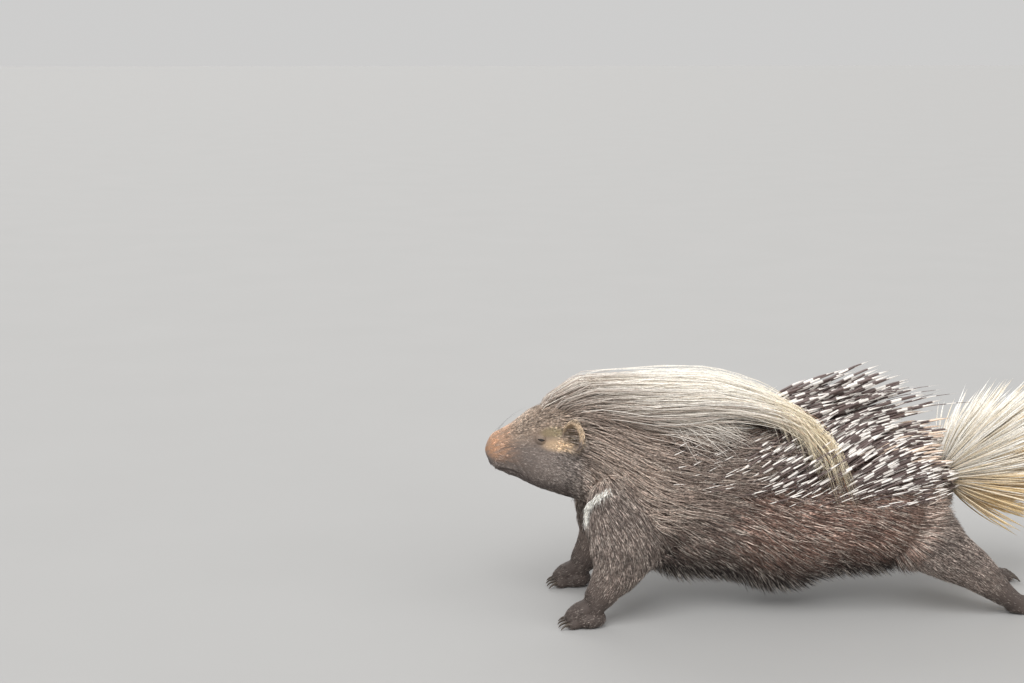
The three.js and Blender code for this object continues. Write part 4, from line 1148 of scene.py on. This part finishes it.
def crest_paths(count):
    """The crest's bristles, which lie in locks: their paths, the side that faces out, the share of
    the crest's height, the angle of the root, and the station and angle of each row."""
    locks = CREST["locks"]
    layer = random.choice(len(CREST_LAYERS), locks, p=[each["share"] for each in CREST_LAYERS])
    ranges = np.array([[each[key] for key in ("height", "end", "turn")] for each in CREST_LAYERS])[layer]
    low, high = ranges[..., 0].T, ranges[..., 1].T
    share = random.random(locks)
    height = mix(low[0], high[0], random.random(locks))
    root_x = mix(CREST["from"], CREST["to"], random.random(locks) ** 0.85 * (1 - 0.3 * height))
    far = np.clip(0.55 * share + 0.5 * random.random(locks), 0, 1)
    end_x = mix(low[1], high[1], np.where(layer == OUTER_LAYER, far**1.35, far))
    stray = random.random(locks) < mix(0.16, 0.07, smooth(root_x, -290, -200))
    height = np.where(stray, height * random.uniform(0.8, 1.2, locks), height)
    spread = 24 * smooth(root_x, CREST["from"], -250) + 9
    root_turn = mix(-spread, spread, share)
    gathered = (layer == OUTER_LAYER) & (share > 0.2)
    end_turn = np.where(gathered, line(SHEAF, end_x), mix(low[2], high[2], share))
    looseness = np.where(stray, 2.5, 1) * np.where(gathered, 0.6, 1)
    end_turn = end_turn + random.normal(0, 3.5, locks) * looseness
    end_turn = end_turn + random.exponential(9, locks) * (layer < 2) * (share > 0.6)
    wave = random.normal(0, 2.6, locks)

    own = random.integers(0, locks, count)
    free = np.where(random.random(count) < 0.12, 5, 1)
    height = height[own] * np.exp(random.normal(0, 0.035, count) * free)
    root_x = np.clip(root_x[own] + random.normal(0, 9, count), CREST["from"], CREST["to"])
    end_x = end_x[own] - np.abs(random.normal(0, 26, count)) + 6
    root_turn = np.radians(root_turn[own] + random.normal(0, 3, count))[:, None]
    end_turn = np.radians(end_turn[own] + random.normal(0, 1.1, count) * free)[:, None]
    gathered = gathered[own]
    t = CREST_ROWS
    late = np.where(gathered, 7, 3)[:, None]
    place_x = mix(root_x[:, None], end_x[:, None], 1 - (1 - t) ** 1.3)
    narrowing = 1 - 0.8 * t**1.2 * gathered[:, None]
    place_turn = mix(root_turn * narrowing, end_turn, 0.15 * t + 0.85 * t**late)
    rise = 1 - np.exp(-(place_x - root_x[:, None]) / CREST["rise"])
    out = line(CREST_TOP, place_x) * np.minimum(height, 1.22)[:, None] * rise
    out = out * (1 - 0.72 * smooth(np.abs(place_turn), 0.4, 1.1))
    out = out + 7 * gathered[:, None] * smooth(place_x, 110, 190)
    sway = wave[own][:, None] + random.normal(0, 1.3, (count, 1))
    out = out + sway * np.sin(5 * t + own[:, None]) * t * 2
    out[:, 0] = -8
    paths = body_raised(place_x, place_turn, out)
    return paths, body_frame(place_x, place_turn)[0], height, root_turn[:, 0], place_x, place_turn


for name in ("crest_under", "crest_over"):
    paths, facing, height, root_turn, place_x, place_turn = crest_paths(CREST["each"])
    count = len(height)
    t = CREST_ROWS
    aside = np.abs(np.degrees(place_turn)) + random.normal(0, 6, (count, 1))
    level = (height + random.normal(0, 0.1, count))[:, None]
    fair = ((1 - smooth(aside, 14, 40)) * smooth(level, 0.38, 0.76))[..., None]
    onset = mix(-0.1, 0.2, random.random((count, 1))) + 0.3 * (1 - smooth(level, 0.2, 0.8))
    pale = smooth(t, onset - 0.05, onset + 0.16)[..., None]
    kind = random.random((count, 1, 1))
    dull = mix(tint(CREST_COLOURS["root"]), tint(CREST_COLOURS["brown"]), kind)
    white = mix(tint(CREST_COLOURS["white"]), tint(CREST_COLOURS["cream"]), random.random((count, 1, 1)))
    streak = mix(dull, tint(CREST_COLOURS["grey"]), random.random((count, 1, 1)) < 0.66)
    streak = mix(dull, streak, smooth(level, 0.1, 0.45)[..., None])
    straw = smooth(place_x + random.normal(0, 22, (count, 1)), 40, 140)[..., None]
    yellow = np.where(kind > 0.93, tint(CREST_COLOURS["rust"]), tint(CREST_COLOURS["straw"]))
    colours = mix(dull, mix(mix(streak, white, fair), yellow, straw), pale)
    colours = colours * np.clip(random.normal(1, 0.13, (count, 1, 1)), 0.6, 1.2)
    taper = line([[0, 0.8], [0.3, 1], [0.8, 0.8], [1, 0.3]], t)
    widths = CREST["width"] * random.uniform(0.6, 1.2, (count, 1)) * taper
    uv = body_unwrap(place_x[:, 0], root_turn)
    crest = strand_mesh(name, paths, widths, facing, 0.7, 3, colours, uv)
    crest.data.materials.append(coat_finish(f"{name}_hair", 0.4, 0.2))
    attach(crest, "root")

# The quills: hard, hollow spines in rows over back and flanks, longest and most raised along the
# back, drifting towards it and levelling off. Each is black with a white tip and white bands.
BACK_LENGTH = [
    [-20, 150], [40, 205], [100, 238], [160, 222], [220, 180], [280, 130], [340, 85], [384, 58],
]
FLANK_LENGTH = [[-90, 46], [-20, 62], [60, 88], [150, 104], [220, 104], [280, 92], [340, 74], [384, 52]]
BACK_TILT = [[-20, 30], [50, 38], [120, 38], [200, 31], [300, 26], [384, 18]]
QUILL_REACH = [[2, 58], [40, 64], [80, 64], [160, 61], [228, 61], [282, 57], [340, 53], [376, 58]]
QUILL_DRIFT = [[0, 0], [20, 20], [45, 34], [62, 30], [80, 12]]
QUILL_BANDS = [[[13, 13], [35, 17]], [[51, 19], [88, 24]], [[104, 26], [152, 20]]]
BAND_SOFTNESS = 1.6
QUILLS = {
    "x": [2, 380], "rows": 31, "spacing": 13, "width": [3.3, 5.6], "root_depth": 12, "steps": 9,
}


def quill_places():
    """Station, angle, length, tilt and thickness of every quill."""
    places = []
    for row in range(QUILLS["rows"]):
        station = mix(*QUILLS["x"], (row + 0.5) / QUILLS["rows"])
        reach = float(line(QUILL_REACH, station))
        girth = 2 * math.radians(reach) * mix(128, 80, smooth(station, 280, 390))
        count = round(girth / QUILLS["spacing"])
        around = (np.arange(count) + 0.5 * (row % 2) + random.uniform(-0.35, 0.35, count)) / count
        places.append(np.stack([
            station + random.uniform(-6, 6, count),
            np.radians(mix(-reach, reach, around)) * random.uniform(0.94, 1.05, count),
        ], 1))
    x, turn = np.concatenate(places).T
    on_back = np.maximum(0, np.cos(turn)) ** 1.5
    farther = smooth(-np.degrees(turn), -22, 8)
    raised_share = on_back * mix(0.35, 1, farther)
    length = mix(line(FLANK_LENGTH, x), line(BACK_LENGTH, x), raised_share)
    length = length * random.uniform(0.72, 1.07, len(x))
    flank_tilt = mix(20, 13, smooth(x, 120, 300))
    tilt = mix(flank_tilt, line(BACK_TILT, x), raised_share) + random.normal(0, 2.5, len(x))
    thick = mix(*QUILLS["width"], smooth(length, 60, 200)) * random.uniform(0.65, 1.12, len(x))
    return x, turn, length, tilt, thick


def thin_quills(count, x, turn, length, tilt, thick):
    """Bristles or thin quills scattered in the given ranges, on both sides."""
    side = random.choice([-1, 1], count)
    place = random.uniform(*x, count), np.radians(random.uniform(*turn, count)) * side
    return *place, *(random.uniform(*values, count) for values in (length, tilt, thick))


quill_sets = [
    quill_places(),
    thin_quills(150, (-120, 5), (8, 74), (48, 84), (12, 22), (1.1, 1.9)),
    thin_quills(150, (0, 350), (50, 71), (40, 74), (7, 13), (1.3, 2.4)),
    thin_quills(12, (40, 150), (0, 22), (250, 320), (20, 25), (1.2, 1.7)),
]
x, turn, length, tilt, quill_width = (np.concatenate(values) for values in zip(*quill_sets))
tilt = np.radians(np.maximum(5, tilt))
out_way, back_way, down_way = body_frame(x, turn)
drift = np.radians(line(QUILL_DRIFT, np.abs(np.degrees(turn))) * (1 - 0.7 * smooth(x, 120, 320)))
drift = (drift + random.normal(0, 0.05, len(x)))[:, None]
lie = back_way * np.cos(drift) - down_way * np.sin(drift)
bow = 0.12 + tilt * 0.25


def toward(angle):
    """The direction at the given angle above the way that each quill lies."""
    return lie * np.cos(angle)[:, None] + out_way * np.sin(angle)[:, None]


start = body_point(x, turn) - toward(tilt + bow) * QUILLS["root_depth"]
reach = (length * 0.5 + 6)[:, None]
bend = start + toward(tilt + bow) * reach
t = np.linspace(0, 1, QUILLS["steps"])
quill_paths = bowed(start, bend, bend + toward(tilt - bow) * reach, QUILLS["steps"])
quill_shape = line([[0, 0.45], [0.2, 0.85], [0.5, 1], [0.8, 0.92], [0.94, 0.6], [1, 0.12]], t)
chance = np.repeat(random.random((len(x), 1)), len(t), 1)
reddish = random.random(len(x)) < 0.5 * smooth(x, 170, 290) * (np.abs(turn) < 0.75)
rufous = np.repeat(reddish[:, None] * 1.0, len(t), 1)
from_tip = (1 - t)[None, :] * length[:, None] * np.where(reddish, 0.45, 1)[:, None]


def quill_finish():
    """Hard gloss horn in bands by the distance from the tip, each quill with its own bands."""
    finish = Finish("quill_horn", 0.32)
    reach, own, warm = (
        finish.add("ShaderNodeAttribute", attribute_name=name).outputs["Fac"]
        for name in ("from_tip", "own", "rufous")
    )

    def worked_out(operation, *values):
        """The result of one sum on sockets and numbers."""
        return finish.add("ShaderNodeMath", dict(enumerate(values)), operation=operation).outputs[0]

    def beyond(edge, spread):
        """0 nearer the tip than a band's edge and 1 farther from it."""
        start = worked_out("MULTIPLY_ADD", own, spread, edge)
        share = worked_out("DIVIDE", worked_out("SUBTRACT", reach, start), BAND_SOFTNESS)
        return finish.add("ShaderNodeClamp", {"Value": share}).outputs[0]

    dark = 0.0
    for first, last in QUILL_BANDS:
        dark = worked_out("ADD", dark, worked_out("SUBTRACT", beyond(*first), beyond(*last)))
    grain = finish.grain(300.0, 3.0)
    ivory = finish.blend((0.84, 0.77, 0.7, 1), (1.0, 0.97, 0.93, 1), grain)
    ivory = finish.blend(ivory, (0.88, 0.6, 0.4, 1), worked_out("MULTIPLY", warm, 0.6))
    black = finish.blend((0.07, 0.049, 0.044, 1), (0.2, 0.142, 0.13, 1), grain)
    finish.colour(finish.blend(ivory, black, dark))
    finish.relief(grain, 0.2, 0.0003)
    return finish.material


quills = strand_mesh(
    "quills", quill_paths, quill_width[:, None] * quill_shape, out_way, 1.0, 5,
    None, body_unwrap(x, turn), {"from_tip": from_tip, "own": chance, "rufous": rufous},
)
quills.data.materials.append(quill_finish())
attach(quills, "root")

# The tail: a fan of stiff pale quills from a short root, spreading less and less towards its
# tip. The lower ones are yellowed.
TAIL_FAN = {"each": 1500, "width": 3.2, "rise": 22, "steps": 7, "spread": [60, 10], "sideways": 0.62}
TAIL_FAN_ROOT = {"from": [382, 0, 214], "to": [426, 0, 235], "radius": [20, 5]}
FAN_LENGTH = [[-60, 105], [-25, 150], [5, 200], [35, 210], [55, 155], [72, 100], [90, 64]]
TAIL_COLOURS = {"white": 0xFFFEFA, "cream": 0xF4EAD8, "yellow": 0xE2C288}
count = TAIL_FAN["each"]
rise = math.radians(TAIL_FAN["rise"])
axis = np.array([math.cos(rise), 0, math.sin(rise)])
back = random.random(count)
around = random.uniform(0, 2 * np.pi, count)
spread = np.radians(mix(*TAIL_FAN["spread"], back) * random.uniform(0.55, 1.08, count))[:, None]
radial = np.stack([0 * around, np.cos(around), np.sin(around)], 1)
radial = unit(radial - (radial @ axis)[:, None] * axis)
widening = TAIL_FAN["sideways"] + (1 - TAIL_FAN["sideways"]) * np.abs(np.sin(around))[:, None]
toward_end = axis * np.cos(spread) + radial * np.sin(spread) * widening
steep = np.degrees(np.arctan2(toward_end[:, 2], np.hypot(toward_end[:, 0], toward_end[:, 1])))
length = line(FAN_LENGTH, steep) * mix(0.42, 1.04, random.random(count) ** 0.6)
root_from, root_to = np.array(TAIL_FAN_ROOT["from"]), np.array(TAIL_FAN_ROOT["to"])
start = mix(root_from, root_to, back[:, None]) + radial * mix(*TAIL_FAN_ROOT["radius"], back)[:, None]
end = start + toward_end * length[:, None]
end[:, 2] -= 16 * smooth(-steep, -8, 30) * random.random(count)
bend = (start + end) / 2 - axis * 7 + random.normal(0, 3, (count, 3))
t = np.linspace(0, 1, TAIL_FAN["steps"])
yellow = smooth(-steep + random.normal(0, 14, count), -26, 16)[:, None, None]
fresh = mix(tint(TAIL_COLOURS["white"]), tint(TAIL_COLOURS["cream"]), random.random((count, 1, 1)))
tail_colours = mix(fresh, tint(TAIL_COLOURS["yellow"]), yellow * mix(0.55, 1, t)[None, :, None])
tail_colours = tail_colours * mix(0.8, 1, smooth(t, 0, 0.2))[None, :, None]
tail_shape = line([[0, 0.5], [0.3, 0.9], [0.7, 1], [0.9, 0.6], [1, 0.15]], t)
tail_widths = TAIL_FAN["width"] * random.uniform(0.5, 1.1, (count, 1)) * tail_shape
tail_uv = np.stack([mix(0.05, 0.95, back), around / (2 * np.pi)], 1) * 0.96 + 0.02
tail_fan = strand_mesh(
    "tail_fan", bowed(start, bend, end, TAIL_FAN["steps"]), tail_widths, radial, 1.0, 4,
    tail_colours, tail_uv,
)
tail_fan.data.materials.append(coat_finish("tail_quill_horn", 0.35, 0.15))
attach(tail_fan, "root")

# The room: a plain pale floor, soft studio light, and the camera at the photograph's place. The
# photograph is taken from 0.93 m up and a few steps away, and the frame cuts the tips of the tail
# and the hind foot.
CAMERA = {"at": [-527.7, -2706.2, 930], "down": 10.06, "turned": -4, "focal": 1700}
PHOTO_WIDTH = 1024
FLOOR_REACH = 60
LIGHTS = [
    {"name": "key", "turned": [42, 0, -24], "energy": 2.2, "softness": 40},
    {"name": "fill", "turned": [55, 0, 50], "energy": 0.9, "softness": 60},
    {"name": "back", "turned": [-58, 0, 10], "energy": 0.9, "softness": 50},
]
STUDIO = {"colour": (0.985, 0.98, 0.972, 1), "strength": 0.625}
floor_mesh = bpy.data.meshes.new("floor")
corners = [(x * FLOOR_REACH, y * FLOOR_REACH, 0) for x, y in ((-1, -1), (1, -1), (1, 1), (-1, 1))]
floor_mesh.from_pydata(corners, [], [(0, 1, 2, 3)])
floor = bpy.data.objects.new("floor", floor_mesh)
bpy.context.scene.collection.objects.link(floor)
finish = Finish("floor_paint", 0.9)
finish.colour(finish.blend((0.378, 0.374, 0.367, 1), (0.396, 0.392, 0.385, 1), finish.grain(3.0, 2.0)))
floor_mesh.materials.append(finish.material)

for lamp in LIGHTS:
    light = bpy.data.objects.new(lamp["name"], bpy.data.lights.new(lamp["name"], "SUN"))
    light.data.energy = lamp["energy"]
    light.data.angle = math.radians(lamp["softness"])
    light.rotation_euler = [math.radians(value) for value in lamp["turned"]]
    bpy.context.scene.collection.objects.link(light)
world = bpy.data.worlds.new("studio")
world.use_nodes = True
background = world.node_tree.nodes["Background"]
background.inputs["Color"].default_value = STUDIO["colour"]
background.inputs["Strength"].default_value = STUDIO["strength"]
bpy.context.scene.world = world
bpy.context.scene.view_settings.view_transform = "Standard"

camera = bpy.data.objects.new("camera", bpy.data.cameras.new("camera"))
camera.data.lens = camera.data.sensor_width * CAMERA["focal"] / PHOTO_WIDTH
camera.location = [value * MM for value in np.array(CAMERA["at"]) + origin]
camera.rotation_euler = (math.radians(90 - CAMERA["down"]), 0, math.radians(CAMERA["turned"]))
bpy.context.scene.collection.objects.link(camera)
bpy.context.scene.camera = camera
